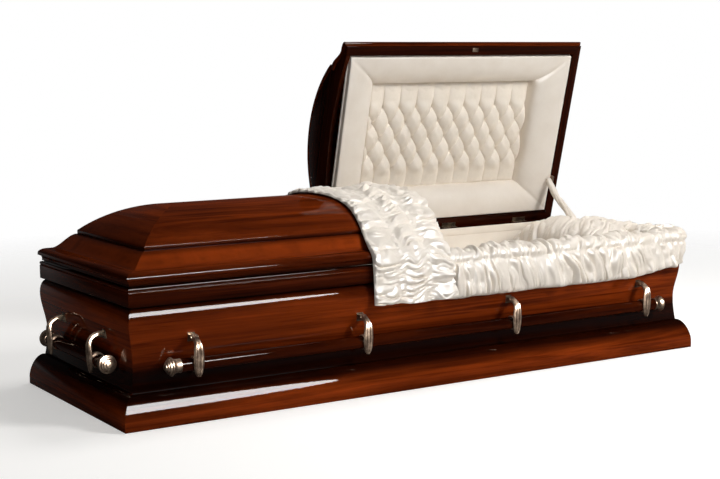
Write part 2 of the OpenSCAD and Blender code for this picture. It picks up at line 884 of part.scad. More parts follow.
bottom_board();
base_moulding();
side_panel_front();
side_panel_back();
end_panel_foot();
end_panel_head();
rim_rail();
bed_frame();
mattress();
pillow();
body_lining();
rim_skirt();
lug_front_1();
lug_front_2();
lug_front_3();
lug_front_4();
lug_back_1();
lug_back_2();
lug_back_3();
lug_back_4();
lug_foot_1();
lug_foot_2();
lug_head_1();
lug_head_2();
arm_front_1();
arm_front_2();
arm_front_3();
arm_front_4();
arm_back_1();
arm_back_2();
arm_back_3();
arm_back_4();
arm_foot_1();
arm_foot_2();
arm_head_1();
arm_head_2();
bar_front();
bar_back();
bar_foot();
bar_head();
foot_lid_rail_front();
foot_lid_rail_back();
foot_lid_rail_end();
foot_lid_header();
foot_lid_crown();
head_lid_rail_front();
head_lid_rail_back();
head_lid_rail_end();
head_lid_header();
head_lid_crown();
cap_roll();
cap_panel();
lid_throw();
foot_hinge_shell_leaf();
foot_hinge_lid_leaf();
head_hinge_shell_leaf();
head_hinge_lid_leaf();
stay_bracket();
lid_stay();
catch_plate();
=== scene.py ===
# %% [markdown]
# # A half-couch casket
# The imported CAD model is the frame: it fixes every size and every moving body. This
# notebook builds the looks around it, one piece at a time, in metres. We load the frame first.

import json
from math import atan2, cos, pi, radians, sin, sqrt

import bpy
import numpy as np
from mathutils import Matrix, Vector


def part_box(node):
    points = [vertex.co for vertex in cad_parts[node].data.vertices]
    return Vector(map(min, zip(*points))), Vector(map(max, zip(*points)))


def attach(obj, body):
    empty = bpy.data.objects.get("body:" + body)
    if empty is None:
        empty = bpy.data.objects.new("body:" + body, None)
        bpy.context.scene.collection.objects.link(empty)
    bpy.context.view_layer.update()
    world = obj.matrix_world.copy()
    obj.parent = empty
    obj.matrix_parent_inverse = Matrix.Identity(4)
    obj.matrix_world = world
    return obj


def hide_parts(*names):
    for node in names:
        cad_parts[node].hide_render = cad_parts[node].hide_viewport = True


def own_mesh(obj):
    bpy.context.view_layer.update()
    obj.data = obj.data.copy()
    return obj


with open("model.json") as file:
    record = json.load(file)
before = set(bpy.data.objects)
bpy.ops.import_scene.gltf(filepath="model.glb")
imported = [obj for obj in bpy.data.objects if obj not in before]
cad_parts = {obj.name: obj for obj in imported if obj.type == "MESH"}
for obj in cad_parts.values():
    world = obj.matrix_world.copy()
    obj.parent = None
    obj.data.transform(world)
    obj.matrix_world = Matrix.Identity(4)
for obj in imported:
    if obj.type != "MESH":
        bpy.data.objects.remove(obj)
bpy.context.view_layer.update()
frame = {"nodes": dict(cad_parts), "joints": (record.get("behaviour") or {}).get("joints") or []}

# %% [markdown]
# ## Camera
# A camera is a place, a direction and a lens. We build its turn from three angles: the
# heading (yaw), how far it looks down (dip) and a small roll. A long lens keeps the long
# sides of the casket from spreading too much, and a small shift slides the picture on
# the film without turning the camera.

# %% Camera
HEADING, DIP, ROLL = radians(32.29), radians(7.39), radians(-0.48)
CAMERA_AT, LENS, SHIFT = (-2.543, -3.931, 0.991), 72.15, (-0.0017, 0.0132)
ahead = Vector((sin(HEADING) * cos(DIP), cos(HEADING) * cos(DIP), -sin(DIP)))
right = Vector((cos(HEADING), -sin(HEADING), 0))
above = right.cross(ahead)
film_right = cos(ROLL) * right + sin(ROLL) * above
film_up = -sin(ROLL) * right + cos(ROLL) * above

camera = bpy.data.objects.new("camera", bpy.data.cameras.new("camera"))
bpy.context.scene.collection.objects.link(camera)
camera.matrix_world = Matrix.Translation(CAMERA_AT) @ Matrix(
    (film_right, film_up, -ahead)).transposed().to_4x4()
camera.data.lens = LENS
camera.data.shift_x, camera.data.shift_y = SHIFT
bpy.context.scene.camera = camera
bpy.context.scene.view_settings.view_transform = "Standard"
print("camera looks along", tuple(round(v, 3) for v in ahead))

# %% [markdown]
# ## Sizes from the frame
# Everything that fits to the CAD model takes its place from the CAD boxes. `half_long`
# and `half_wide` are the half sizes of the base moulding, and a "set-in" is how far a
# face lies inside them. The lids are modelled shut and then opened about the hinge line.

# %% Sizes
half_long, half_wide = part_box("base_moulding")[1].xy
base_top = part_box("base_moulding")[1].z
panel_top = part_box("side_panel_front")[1].z
rim_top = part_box("rim_rail")[1].z
lid_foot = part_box("foot_lid_rail_front")[0].z
crown_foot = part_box("foot_lid_rail_front")[1].z
split = -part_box("foot_lid_crown")[1].x
joint_of = {j["name"]: j for j in frame["joints"]}
hinge_point = Vector(joint_of["head_lid_hinge"]["pos_m"])
open_angle = radians(joint_of["head_lid_hinge"]["range_deg"][1])
stay_point = Vector(joint_of["lid_stay_pivot"]["pos_m"])
OPENED = (Matrix.Translation(hinge_point) @ Matrix.Rotation(-open_angle, 4, "X")
          @ Matrix.Translation(-hinge_point))
print("half sizes", half_long, half_wide, "lid foot", lid_foot, "split", split)

# %% [markdown]
# ## Small tools
# Blender's operators act on whatever is selected, so each step starts by clearing the
# selection, and `pick` then selects one piece. `settle` applies a piece's modifiers and
# moves its place into its mesh, so that the finished object sits at the origin, as the
# CAD nodes do. `points_of` and `move_points` read and set all of a mesh's points at once.

# %% Selecting and naming
def deselect():
    if bpy.context.object and bpy.context.object.mode != "OBJECT":
        bpy.ops.object.mode_set(mode="OBJECT")
    bpy.ops.object.select_all(action="DESELECT")


def pick(piece):
    deselect()
    bpy.context.view_layer.objects.active = piece
    piece.select_set(True)


def edit(piece, mode="VERT"):
    pick(piece)
    bpy.ops.object.mode_set(mode="EDIT")
    bpy.ops.mesh.select_mode(type=mode)
    bpy.ops.mesh.select_all(action="SELECT")


def named(name):
    """Names the primitive that was just added."""
    piece = bpy.context.object
    piece.name = piece.data.name = name
    return piece

# %% Points, modifiers and cuts
SHARP = radians(35)                # edges that turn by more than this are eased
WELD = 1e-5                        # points closer than this, in metres, become one


def points_of(piece):
    return np.array([vertex.co for vertex in piece.data.vertices])


def move_points(piece, co):
    piece.data.vertices.foreach_set("co", co.ravel())
    piece.data.update()


def settle(piece, angle=32):
    """Applies modifiers and place, and shades smooth except across sharp edges."""
    pick(piece)
    bpy.ops.object.transform_apply(location=True, rotation=True, scale=True)
    for modifier in list(piece.modifiers):
        bpy.ops.object.modifier_apply(modifier=modifier.name)
    bpy.ops.object.shade_smooth_by_angle(angle=radians(angle))
    return piece


def ease_edges(piece, width, segments=2):
    """Rounds the sharp edges a little, as sanding does before lacquer."""
    bevel = piece.modifiers.new("eased", "BEVEL")
    bevel.width, bevel.segments = width, segments
    bevel.limit_method, bevel.angle_limit = "ANGLE", SHARP
    bevel.use_clamp_overlap = True
    return settle(piece)


def cut_with(piece, tool, operation="DIFFERENCE"):
    """Joins or cuts two closed meshes, and removes the tool."""
    change = piece.modifiers.new("cut", "BOOLEAN")
    change.object, change.operation, change.solver = tool, operation, "EXACT"
    pick(piece)
    bpy.ops.object.modifier_apply(modifier=change.name)
    bpy.data.objects.remove(tool)
    return piece

# %% [markdown]
# `place` moves a piece's mesh and leaves its object at the origin. A mirror turns faces
# inside out, so it turns them back.

# %% Placing, copying and dressing
def place(piece, matrix):
    piece.data.transform(matrix)
    if matrix.determinant() < 0:
        piece.data.flip_normals()
    piece.data.update()
    return piece


def duplicate(piece, name, matrix=None):
    twin = piece.copy()
    twin.data = piece.data.copy()
    twin.name = twin.data.name = name
    bpy.context.scene.collection.objects.link(twin)
    return place(twin, matrix) if matrix else twin


def merged_copy(node, name):
    """A copy of a CAD node's mesh with its loose triangles joined up."""
    piece = duplicate(frame["nodes"][node], name)
    piece.parent = None
    for key in list(piece.keys()):
        del piece[key]
    piece.data.materials.clear()
    edit(piece)
    bpy.ops.mesh.remove_doubles(threshold=WELD)
    bpy.ops.mesh.tris_convert_to_quads(face_threshold=radians(1), shape_threshold=pi)
    bpy.ops.mesh.customdata_custom_splitnormals_clear()
    deselect()
    return piece


def dress(piece, body, slot, material, *nodes):
    """Gives a finished piece its material, its body and the CAD nodes it stands for."""
    piece.data.materials.clear()
    piece.data.materials.append(material)
    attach(piece, body)
    if nodes:
        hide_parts(*nodes)
    print(piece.name, len(piece.data.polygons), "faces on", body)
    return piece

# %% [markdown]
# ## Repeatable unevenness
# Wood, tarnish and cloth are never quite even. `bumps` is a smooth value noise: random
# heights on a lattice, from a fixed seed, blended with a soft curve. The same seed gives
# the same casket on each run.

# %% Smooth noise for shapes
NOISE_SEED, CELLS = 7, 256
LATTICE = np.random.RandomState(NOISE_SEED).uniform(-1, 1, (CELLS, CELLS))


def bumps(x, y, seed=0):
    """Smooth noise from -1 to 1 with features about one unit across."""
    x, y = np.asarray(x, float) + 17.3 * seed, np.asarray(y, float) + 5.9 * seed
    i, j = np.floor(x).astype(int), np.floor(y).astype(int)
    u, v = x - i, y - j
    u, v = u * u * (3 - 2 * u), v * v * (3 - 2 * v)
    i, j, i1, j1 = i % CELLS, j % CELLS, (i + 1) % CELLS, (j + 1) % CELLS
    near = LATTICE[i, j] * (1 - u) + LATTICE[i1, j] * u
    far = LATTICE[i, j1] * (1 - u) + LATTICE[i1, j1] * u
    return near * (1 - v) + far * v


def soft(x):
    """A soft step from 0 to 1, level at both ends."""
    x = np.clip(x, 0, 1)
    return x * x * (3 - 2 * x)


print("lattice", LATTICE.shape)

# %% [markdown]
# ## Building materials from nodes
# Effects that several finishes share are node groups: `wood_figure` draws the grain and
# `cloth_weave` the threads. A group only puts out colours and heights, and each material
# keeps its own shader. Nodes could be placed by hand in the editor. In code we use a few
# short helpers, so that a material reads like a recipe.

# %% Node helpers
def new_group(name, inputs, outputs):
    group = bpy.data.node_groups.new(name, "ShaderNodeTree")
    for label, kind, value in inputs:
        made = group.interface.new_socket(label, in_out="INPUT", socket_type=kind)
        if value is not None:
            made.default_value = value
    for label, kind in outputs:
        group.interface.new_socket(label, in_out="OUTPUT", socket_type=kind)
    return group, group.nodes.new("NodeGroupInput"), group.nodes.new("NodeGroupOutput")


def add(tree, kind, settings=None, **inputs):
    """Adds a node, sets its properties and plugs in values or other sockets."""
    node = tree.nodes.new(kind)
    for key, value in (settings or {}).items():
        setattr(node, key, value)
    for key, value in inputs.items():
        key = key.replace("_", " ")
        by_number = key[0] == "i" and key[1:].isdigit()
        target = node.inputs[int(key[1:]) if by_number else key]
        if isinstance(value, bpy.types.NodeSocket):
            tree.links.new(value, target)
        else:
            target.default_value = value
    return node


def math(tree, operation, a, b):
    return add(tree, "ShaderNodeMath", {"operation": operation}, i0=a, i1=b).outputs[0]


def stretch(tree, vector, scale):
    """Scales a pattern's coordinates, by one amount along each axis."""
    return add(tree, "ShaderNodeVectorMath", {"operation": "MULTIPLY"},
               i0=vector, i1=scale).outputs[0]


def mix_colour(tree, factor, a, b, blend="MIX"):
    node = tree.nodes.new("ShaderNodeMix")
    node.data_type, node.blend_type = "RGBA", blend
    for socket, value in ((node.inputs[0], factor), (node.inputs[6], a), (node.inputs[7], b)):
        if isinstance(value, bpy.types.NodeSocket):
            tree.links.new(value, socket)
        else:
            socket.default_value = value
    return node.outputs[2]


def spread(tree, value, low, high, to_low=0.0, to_high=1.0):
    """Maps a value's range to another range, and clamps it there."""
    return add(tree, "ShaderNodeMapRange", None, Value=value, From_Min=low, From_Max=high,
               To_Min=to_low, To_Max=to_high).outputs[0]

# %% [markdown]
# ### Wood figure
# Cherry or poplar boards show three things at once: broad cloudy figure, long streaks, and
# fine dark pores. An image of wood would repeat and blur. We add three noises instead,
# each stretched along the board by its own amount, and let the sum choose between a pale
# and a deep colour.

# %% Wood grain group
def make_wood_figure():
    group, given, out = new_group(
        "wood_figure",
        [("Vector", "NodeSocketVector", None), ("Pale", "NodeSocketColor", (1, 1, 1, 1)),
         ("Deep", "NodeSocketColor", (0, 0, 0, 1))],
        [("Color", "NodeSocketColor"), ("Pores", "NodeSocketFloat")])
    place_in = given.outputs["Vector"]
    wander = add(group, "ShaderNodeTexNoise", {"noise_dimensions": "2D"},
                 Vector=stretch(group, place_in, (1.7, 9.0, 1)), Scale=1.0, Detail=3.0)
    figure = add(group, "ShaderNodeTexNoise", {"noise_dimensions": "2D"},
                 Vector=stretch(group, place_in, (1.5, 52.0, 1)), Scale=1.0,
                 Detail=6.0, Roughness=0.62, Distortion=0.8)
    fine = add(group, "ShaderNodeTexNoise", {"noise_dimensions": "2D"},
               Vector=stretch(group, place_in, (14.0, 620.0, 1)), Scale=1.0, Detail=3.0)
    amount = math(group, "ADD", math(group, "MULTIPLY", figure.outputs[0], 0.65),
                  math(group, "MULTIPLY", wander.outputs[0], 0.35))
    base = mix_colour(group, spread(group, amount, 0.36, 0.64),
                      given.outputs["Deep"], given.outputs["Pale"])
    pores = spread(group, fine.outputs[0], 0.52, 0.72)
    lined = mix_colour(group, math(group, "MULTIPLY", pores, 0.35), base,
                       given.outputs["Deep"])
    group.links.new(lined, out.inputs["Color"])
    group.links.new(pores, out.inputs["Pores"])
    return group


wood_figure = make_wood_figure()
print("group", wood_figure.name)

# %% [markdown]
# ### Crepe weave
# Crepe is woven from hard-twisted threads that crinkle, so its surface is a fine pebble
# and never a clean grid. One very fine noise gives the pebble and its height, and a slow
# one keeps large areas from being one flat colour.

# %% Cloth weave group
def make_cloth_weave():
    group, given, out = new_group(
        "cloth_weave",
        [("Vector", "NodeSocketVector", None), ("Threads", "NodeSocketFloat", 900.0),
         ("Pale", "NodeSocketColor", (1, 1, 1, 1)), ("Deep", "NodeSocketColor", (0, 0, 0, 1))],
        [("Color", "NodeSocketColor"), ("Height", "NodeSocketFloat")])
    place_in = given.outputs["Vector"]
    crepe = add(group, "ShaderNodeTexNoise", None, Vector=place_in,
                Scale=given.outputs["Threads"], Detail=2.0)
    cloud = add(group, "ShaderNodeTexNoise", None, Vector=place_in, Scale=14.0, Detail=3.0)
    tone = spread(group, cloud.outputs[0], 0.3, 0.7)
    speck = spread(group, crepe.outputs[0], 0.35, 0.75)
    shade = math(group, "ADD", math(group, "MULTIPLY", tone, 0.6),
                 math(group, "MULTIPLY", speck, 0.4))
    group.links.new(mix_colour(group, shade, given.outputs["Deep"], given.outputs["Pale"]),
                    out.inputs["Color"])
    group.links.new(crepe.outputs[0], out.inputs["Height"])
    return group


cloth_weave = make_cloth_weave()
print("group", cloth_weave.name)

# %% [markdown]
# ### Finishes
# The wood reads a UV map that runs along each board, so the grain turns at the mitres, and
# a darkening attribute. It holds the toner that the finisher sprays along the edges before
# the clear lacquer, and also painted shade: the wood is painted darker in the recesses
# between the mouldings, below the handle bar and on top of the base, where shade and dark
# reflections fall. All of its mirror shine is in the coat, as on real lacquered wood. Cloth
# is matt with a little sheen. The fittings are brass that was darkened and then rubbed, so
# its dark colour stays in cloudy patches; a darker copy of the brass is painted shade, for
# the lugs behind the arms and the hinge leaves in the gap under the lids.

# %% Lacquer
COAT_ROUGHNESS, COAT_IOR = 0.035, 1.3


def start_material(name):
    material = bpy.data.materials.new(name)
    material.use_nodes = True
    tree = material.node_tree
    return material, tree, tree.nodes["Principled BSDF"]


def lacquered(name, pale, deep, toner_and_shade_colour, coat=0.4):
    material, tree, shader = start_material(name)
    grain = add(tree, "ShaderNodeUVMap", {"uv_map": "grain"})
    figure = add(tree, "ShaderNodeGroup", {"node_tree": wood_figure},
                 Vector=grain.outputs[0], Pale=pale, Deep=deep)
    # The darkening attribute mixes the wood towards near-black: toner and painted shade together.
    toner_and_shade = add(tree, "ShaderNodeAttribute", {"attribute_name": "toner_and_shade"})
    tree.links.new(mix_colour(tree, toner_and_shade.outputs["Fac"], figure.outputs["Color"], toner_and_shade_colour),
                   shader.inputs["Base Color"])
    bump = add(tree, "ShaderNodeBump", None, Height=figure.outputs["Pores"],
               Strength=0.04, Distance=0.0004)
    tree.links.new(bump.outputs[0], shader.inputs["Normal"])
    tree.links.new(spread(tree, figure.outputs["Pores"], 0, 1, 0.42, 0.5),
                   shader.inputs["Roughness"])
    shader.inputs["Specular IOR Level"].default_value = 0.0
    shader.inputs["Coat Weight"].default_value = coat
    shader.inputs["Coat Roughness"].default_value = COAT_ROUGHNESS
    shader.inputs["Coat IOR"].default_value = COAT_IOR
    return material


# The last colour is the near-black of the toner, also used as painted shade and painted dark
# reflection.
wood = lacquered("lacquered_wood", (0.33, 0.049, 0.0065, 1), (0.085, 0.0115, 0.0018, 1),
                 (0.003, 0.0006, 0.0003, 1))
plain_wood = lacquered("plain_wood", (0.62, 0.44, 0.25, 1), (0.40, 0.25, 0.12, 1),
                       (0.2, 0.12, 0.06, 1), coat=0.0)
print("woods", wood.name, plain_wood.name)

# %% Crepe
def fabric(name, pale, deep, threads, depth, sheen, roughness, specular):
    material, tree, shader = start_material(name)
    where = add(tree, "ShaderNodeTexCoord")
    weave = add(tree, "ShaderNodeGroup", {"node_tree": cloth_weave},
                Vector=where.outputs["Object"], Threads=threads, Pale=pale, Deep=deep)
    tree.links.new(weave.outputs["Color"], shader.inputs["Base Color"])
    bump = add(tree, "ShaderNodeBump", None, Height=weave.outputs["Height"],
               Strength=0.35, Distance=depth)
    tree.links.new(bump.outputs[0], shader.inputs["Normal"])
    tree.links.new(spread(tree, weave.outputs["Height"], 0.3, 0.7, roughness, roughness + 0.08),
                   shader.inputs["Roughness"])
    shader.inputs["Sheen Weight"].default_value = sheen
    shader.inputs["Sheen Roughness"].default_value = 0.4
    shader.inputs["Specular IOR Level"].default_value = specular
    return material


cream = fabric("cream_crepe", (0.80, 0.725, 0.625, 1), (0.72, 0.640, 0.540, 1), 1500, 0.0003,
               sheen=0.06, roughness=0.62, specular=0.25)
ivory = fabric("ivory_crepe", (0.81, 0.745, 0.665, 1), (0.73, 0.655, 0.565, 1), 1100, 0.0003,
               sheen=0.05, roughness=0.42, specular=0.45)
print("cloths", cream.name, ivory.name)

# %% Antique brass
def antique(name, pale, dark):
    material, tree, shader = start_material(name)
    where = add(tree, "ShaderNodeTexCoord")
    cloud = add(tree, "ShaderNodeTexNoise", None, Vector=where.outputs["Object"],
                Scale=55.0, Detail=4.0)
    brushed = add(tree, "ShaderNodeTexNoise", None,
                  Vector=stretch(tree, where.outputs["Object"], (2200, 2200, 60)),
                  Scale=1.0, Detail=1.0)
    tarnish = spread(tree, cloud.outputs[0], 0.38, 0.68)
    tree.links.new(mix_colour(tree, tarnish, dark, pale), shader.inputs["Base Color"])
    tree.links.new(spread(tree, brushed.outputs[0], 0.3, 0.7, 0.24, 0.38),
                   shader.inputs["Roughness"])
    bump = add(tree, "ShaderNodeBump", None, Height=brushed.outputs[0],
               Strength=0.12, Distance=0.0002)
    tree.links.new(bump.outputs[0], shader.inputs["Normal"])
    shader.inputs["Metallic"].default_value = 1.0
    return material


brass = antique("antique_brass", (0.43, 0.32, 0.235, 1), (0.16, 0.110, 0.080, 1))
# A darker copy of the same brass, as painted shade: the lugs sit behind the arms and the hinge
# leaves in the gap under the lids.
shaded_dark_brass = antique("shaded_dark_antique_brass", (0.22, 0.165, 0.11, 1), (0.06, 0.045, 0.032, 1))
print("metals", brass.name, shaded_dark_brass.name)

# %% [markdown]
# ## Grain, toner and painted shade on the boards
# The grain follows each board's length, so its UV map is worked out face by face: on the
# long sides it runs along x, on the ends along y. Each side starts at another place in the
# pattern, as no two boards are alike. The darkening is stored on the vertices by height, from
# a short list of (height, amount) stops. It is partly the finisher's toner and partly painted
# shade: the stops make the wood darker in the recesses, below the handle bar, along the waist
# and on top of the base, where shade and dark reflections fall.

# %% Grain map and toner
# Darkening by height: partly toner, partly painted shade in the recesses, below the handle bar and
# on top of the base.
TONER_AND_PAINTED_SHADE = [(0.0, 0.40), (0.010, 0.12), (0.042, 0.06), (0.062, 0.55), (0.080, 0.93),
         (0.097, 0.96), (0.150, 0.95), (0.166, 0.80), (0.180, 0.42), (0.200, 0.22),
         (0.290, 0.20), (0.316, 0.50), (0.331, 0.90), (0.338, 0.90), (0.352, 0.66),
         (0.374, 0.62), (0.388, 0.88), (0.392, 0.92), (0.401, 0.74), (0.410, 0.66),
         (0.420, 0.66), (0.431, 0.45), (0.441, 0.10), (0.461, 0.04), (0.471, 0.50),
         (0.477, 0.85), (0.488, 0.50), (0.510, 0.46), (0.577, 0.40)]


SIDE_SHIFT, END_SHIFT = 3.1, 1.7


def lay_grain(piece, across=False, level=None):
    """across turns the grain along y; level sets one amount of the darkening all over, toner and
    painted shade alike.
    """
    mesh = piece.data
    layer = mesh.uv_layers.new(name="grain")
    for face in mesh.polygons:
        c = face.center
        along_y = across or half_long - abs(c.x) < half_wide - abs(c.y)
        far_side = (c.x > 0) if along_y else (c.y > 0)
        shift = SIDE_SHIFT * far_side + (END_SHIFT if along_y else 0)
        for corner in face.loop_indices:
            p = mesh.vertices[mesh.loops[corner].vertex_index].co
            run, over = (p.y, p.x) if along_y else (p.x, p.y)
            layer.data[corner].uv = (run + shift, p.z + abs(over) + shift)
    # Per-vertex darkening: the finisher's toner together with painted shade.
    toner_and_shade = mesh.attributes.new("toner_and_shade", "FLOAT", "POINT")
    heights = np.array([v.co.z for v in mesh.vertices])
    amounts = np.interp(heights, *zip(*TONER_AND_PAINTED_SHADE)) if level is None else 0 * heights + level
    toner_and_shade.data.foreach_set("value", amounts.astype(np.float32))
    return piece

# %% [markdown]
# ## Mitred frames
# The base moulding, the panels, the rim rail and the lid mouldings are boards of one
# section that run round a rectangle and meet at mitres. We start from a flat plane, keep
# only its edges, and extrude that loop along the section. Each step moves it up and
# resizes it about the middle, by a different share along x and y, so that it moves in
# by the same distance on all sides and the mitres come out by themselves.

# %% A mitred frame
def mitred_frame(name, section, half_x, half_y, cuts=0):
    """Runs a closed section, a list of (set-in, height), round a rectangle."""
    deselect()
    bpy.ops.mesh.primitive_plane_add(size=2, location=(0, 0, 0))
    piece = named(name)
    edit(piece, "EDGE")
    set_in, height = section[0]
    bpy.ops.transform.resize(value=(half_x - set_in, half_y - set_in, 1),
                             center_override=(0, 0, 0))
    bpy.ops.transform.translate(value=(0, 0, height))
    bpy.ops.mesh.delete(type="ONLY_FACE")
    bpy.ops.mesh.select_all(action="SELECT")
    if cuts:
        bpy.ops.mesh.subdivide(number_cuts=cuts)
    for (o0, z0), (o1, z1) in zip(section, section[1:] + section[:1]):
        bpy.ops.mesh.extrude_edges_move(TRANSFORM_OT_translate={"value": (0, 0, z1 - z0)})
        bpy.ops.transform.resize(
            value=((half_x - o1) / (half_x - o0), (half_y - o1) / (half_y - o0), 1),
            center_override=(0, 0, 0))
    bpy.ops.mesh.select_all(action="SELECT")
    bpy.ops.mesh.remove_doubles(threshold=WELD)
    bpy.ops.mesh.normals_make_consistent(inside=False)
    deselect()
    return piece


# %% [markdown]
# ### Base moulding
# The base is the casket's widest part: a short upright toe, and above it a quarter round
# that rolls in to the foot of the panels. The sections of all the boards are drawn as
# (set-in, height) points, and round stretches come from `quarter`, the angles of a quarter
# turn in even steps.

# %% Base moulding
CURVE = 16
WALL_IN = 0.068
EASED = 0.0008
TOE_HIGH, ROLL_IN = 0.024, 0.038


def quarter(count):
    return [pi / 2 * i / count for i in range(1, count + 1)]


base_section = [(EASED, 0.0), (0, EASED), (0, TOE_HIGH)] + [
    (ROLL_IN * (1 - cos(t)) ** 0.8, TOE_HIGH + (base_top - TOE_HIGH) * sin(t))
    for t in quarter(CURVE)] + [(WALL_IN, base_top), (WALL_IN, 0)]
base = lay_grain(ease_edges(mitred_frame("base_boards", base_section, half_long, half_wide),
                            0.0012))
dress(base, "shell", "lacquered_wood", wood, "base_moulding")

# %% [markdown]
# ### Panels
# The side and end panels sweep in to a waist, swell out to a shoulder and turn in under the
# rim. Three curves that meet do this: a parabola, a soft S and a quarter round.

# %% Panels
WAIST_UP, SHOULDER_DOWN = 0.083, 0.041
PANEL_FOOT_IN, FOOT_SWEEP = 0.0395, 0.0065
WAIST_IN, SWELL_OUT = 0.046, 0.014
SHOULDER_IN, NECK_SWEEP = 0.032, 0.016
waist_z = base_top + WAIST_UP
shoulder_z = panel_top - SHOULDER_DOWN
panel_section = (
    [(PANEL_FOOT_IN + FOOT_SWEEP * (1 - (1 - i / CURVE) ** 2), base_top + WAIST_UP * i / CURVE)
     for i in range(CURVE + 1)]
    + [(WAIST_IN - SWELL_OUT * float(soft(i / CURVE)),
        waist_z + (shoulder_z - waist_z) * i / CURVE) for i in range(1, CURVE + 1)]
    + [(SHOULDER_IN + NECK_SWEEP * (1 - cos(t)), panel_top - SHOULDER_DOWN * (1 - sin(t)))
       for t in quarter(CURVE)]
    + [(WALL_IN, panel_top), (WALL_IN, base_top)])
panels = lay_grain(ease_edges(
    mitred_frame("side_and_end_panels", panel_section, half_long, half_wide), 0.0012))
dress(panels, "shell", "lacquered_wood", wood, "side_panel_front", "side_panel_back",
      "end_panel_foot", "end_panel_head")

# %% [markdown]
# ### Rim rail
# The rim is a flat rail with a fine V groove near its top and a rounded upper edge. The
# barrels of the hinges sit half in it, so we cut a shallow round groove at each hinge, with
# a cylinder and a boolean.

# %% Rim rail
HINGE_XS = (0.230, 0.532, 0.857)
BARREL_GROOVE_R, BARREL_GROOVE_LONG = 0.0043, 0.062
RIM_IN = 0.034
rim_foot = panel_top + 0.004
cut_z = rim_top - 0.010
rim_section = [
    (0.048, panel_top), (0.048, rim_foot), (0.0355, rim_foot), (RIM_IN, rim_foot + 0.0015),
    (RIM_IN, cut_z - 0.0025), (0.0365, cut_z), (RIM_IN, cut_z + 0.0025),
    (RIM_IN, rim_top - 0.004), (0.0345, rim_top - 0.002), (0.0360, rim_top - 0.0006),
    (0.038, rim_top), (WALL_IN, rim_top), (WALL_IN, panel_top)]


def hinge_grooves(piece, places):
    for x in places:
        deselect()
        bpy.ops.mesh.primitive_cylinder_add(
            vertices=32, radius=BARREL_GROOVE_R, depth=BARREL_GROOVE_LONG,
            location=(x, hinge_point.y, hinge_point.z), rotation=(0, pi / 2, 0))
        cut_with(piece, bpy.context.object)
    return piece


rim = ease_edges(mitred_frame("rim_boards", rim_section, half_long, half_wide), 0.0007)
lay_grain(hinge_grooves(rim, [side * x for side in (-1, 1) for x in HINGE_XS]))
dress(rim, "shell", "lacquered_wood", wood, "rim_rail")

# %% [markdown]
# ## Lids
# A lid's moulding is the same kind of frame with one end cut away at the split between
# the lids. `bisect` cuts the whole ring and fills the cut, which leaves a U of three
# boards. The head lid is the same piece turned end for end with a mirror, whose faces
# are turned round again, and then opened about the hinge line.

# %% Lid mouldings
LIP_IN, LIP_R = 0.030, 0.010
COVE_IN, COVE_HIGH = 0.060, 0.016
OGEE_IN, OGEE_HIGH = 0.065, 0.046
lip_top = lid_foot + 0.023
lid_section = (
    [(LIP_IN + LIP_R, lid_foot)]
    + [(LIP_IN + LIP_R * cos(radians(9 * i)),
        lip_top - COVE_HIGH + LIP_R * sin(radians(9 * i))) for i in range(11)]
    + [(COVE_IN - LIP_IN * cos(radians(90 * i / CURVE)),
        lip_top + COVE_HIGH * sin(radians(90 * i / CURVE))) for i in range(CURVE + 1)]
    + [(COVE_IN + OGEE_IN * i / CURVE, lip_top + COVE_HIGH + OGEE_HIGH * float(soft(i / CURVE)))
       for i in range(1, CURVE + 1)]
    + [(0.140, crown_foot), (0.140, crown_foot - 0.016), (0.112, lip_top + 0.036),
       (0.092, lip_top + 0.016), (0.072, lip_top + 0.002), (0.072, lid_foot)])


def cut_at_split(piece):
    edit(piece)
    bpy.ops.mesh.bisect(plane_co=(-split, 0, 0), plane_no=(1, 0, 0), use_fill=True,
                        clear_outer=True)
    deselect()
    return piece


MIRROR_X = Matrix.Scale(-1, 4, (1, 0, 0))
foot_moulding = ease_edges(cut_at_split(
    mitred_frame("foot_lid_moulding", lid_section, half_long, half_wide)), 0.001)
lay_grain(hinge_grooves(foot_moulding, [-x for x in HINGE_XS]))
head_moulding = duplicate(foot_moulding, "head_lid_moulding", OPENED @ MIRROR_X)
dress(foot_moulding, "foot_lid", "lacquered_wood", wood, "foot_lid_rail_front",
      "foot_lid_rail_back", "foot_lid_rail_end")
dress(head_moulding, "head_lid", "lacquered_wood", wood, "head_lid_rail_front",
      "head_lid_rail_back", "head_lid_rail_end")

# %% [markdown]
# ### Crowns and end boards
# The crown is a vault whose end is hipped, and the CAD model already has its exact shape,
# so we copy that mesh, join its loose triangles and ease its edges. The end board closes
# the lid at the split; its grain runs across.

# %% Crowns and end boards
foot_crown = lay_grain(ease_edges(merged_copy("foot_lid_crown", "foot_lid_vault"), 0.0009))
foot_board = lay_grain(ease_edges(merged_copy("foot_lid_header", "foot_lid_end_board"),
                                  0.0008), across=True, level=0.85)
head_crown = duplicate(foot_crown, "head_lid_vault", OPENED @ MIRROR_X)
head_board = duplicate(foot_board, "head_lid_end_board", OPENED @ MIRROR_X)
dress(foot_crown, "foot_lid", "lacquered_wood", wood, "foot_lid_crown")
dress(foot_board, "foot_lid", "lacquered_wood", wood, "foot_lid_header")
dress(head_crown, "head_lid", "lacquered_wood", wood, "head_lid_crown")
dress(head_board, "head_lid", "lacquered_wood", wood, "head_lid_header")

# %% [markdown]
# ### Boards that stay out of sight
# The bottom board and the bed frame are hidden when the casket stands as it is shown, but
# someone may look underneath or lift the pillow out. They are plain copies with soft edges.

# %% Boards that stay out of sight
floor_board = lay_grain(ease_edges(merged_copy("bottom_board", "bottom_boards"), 0.001),
                        level=0.3)
dress(floor_board, "shell", "lacquered_wood", wood, "bottom_board")
bed = lay_grain(ease_edges(merged_copy("bed_frame", "bed_frame_boards"), 0.002), level=0.0)
dress(bed, "shell", "plain_wood", plain_wood, "bed_frame")

# %% [markdown]
# ## Turned pieces
# A turned piece is round about one axis, such as the metal tips of the bars. We start
# from a circle, and extrude it ring by ring along a profile of (height, radius), the way
# a turner works along the blank. The first and last rings are filled, so it is closed.

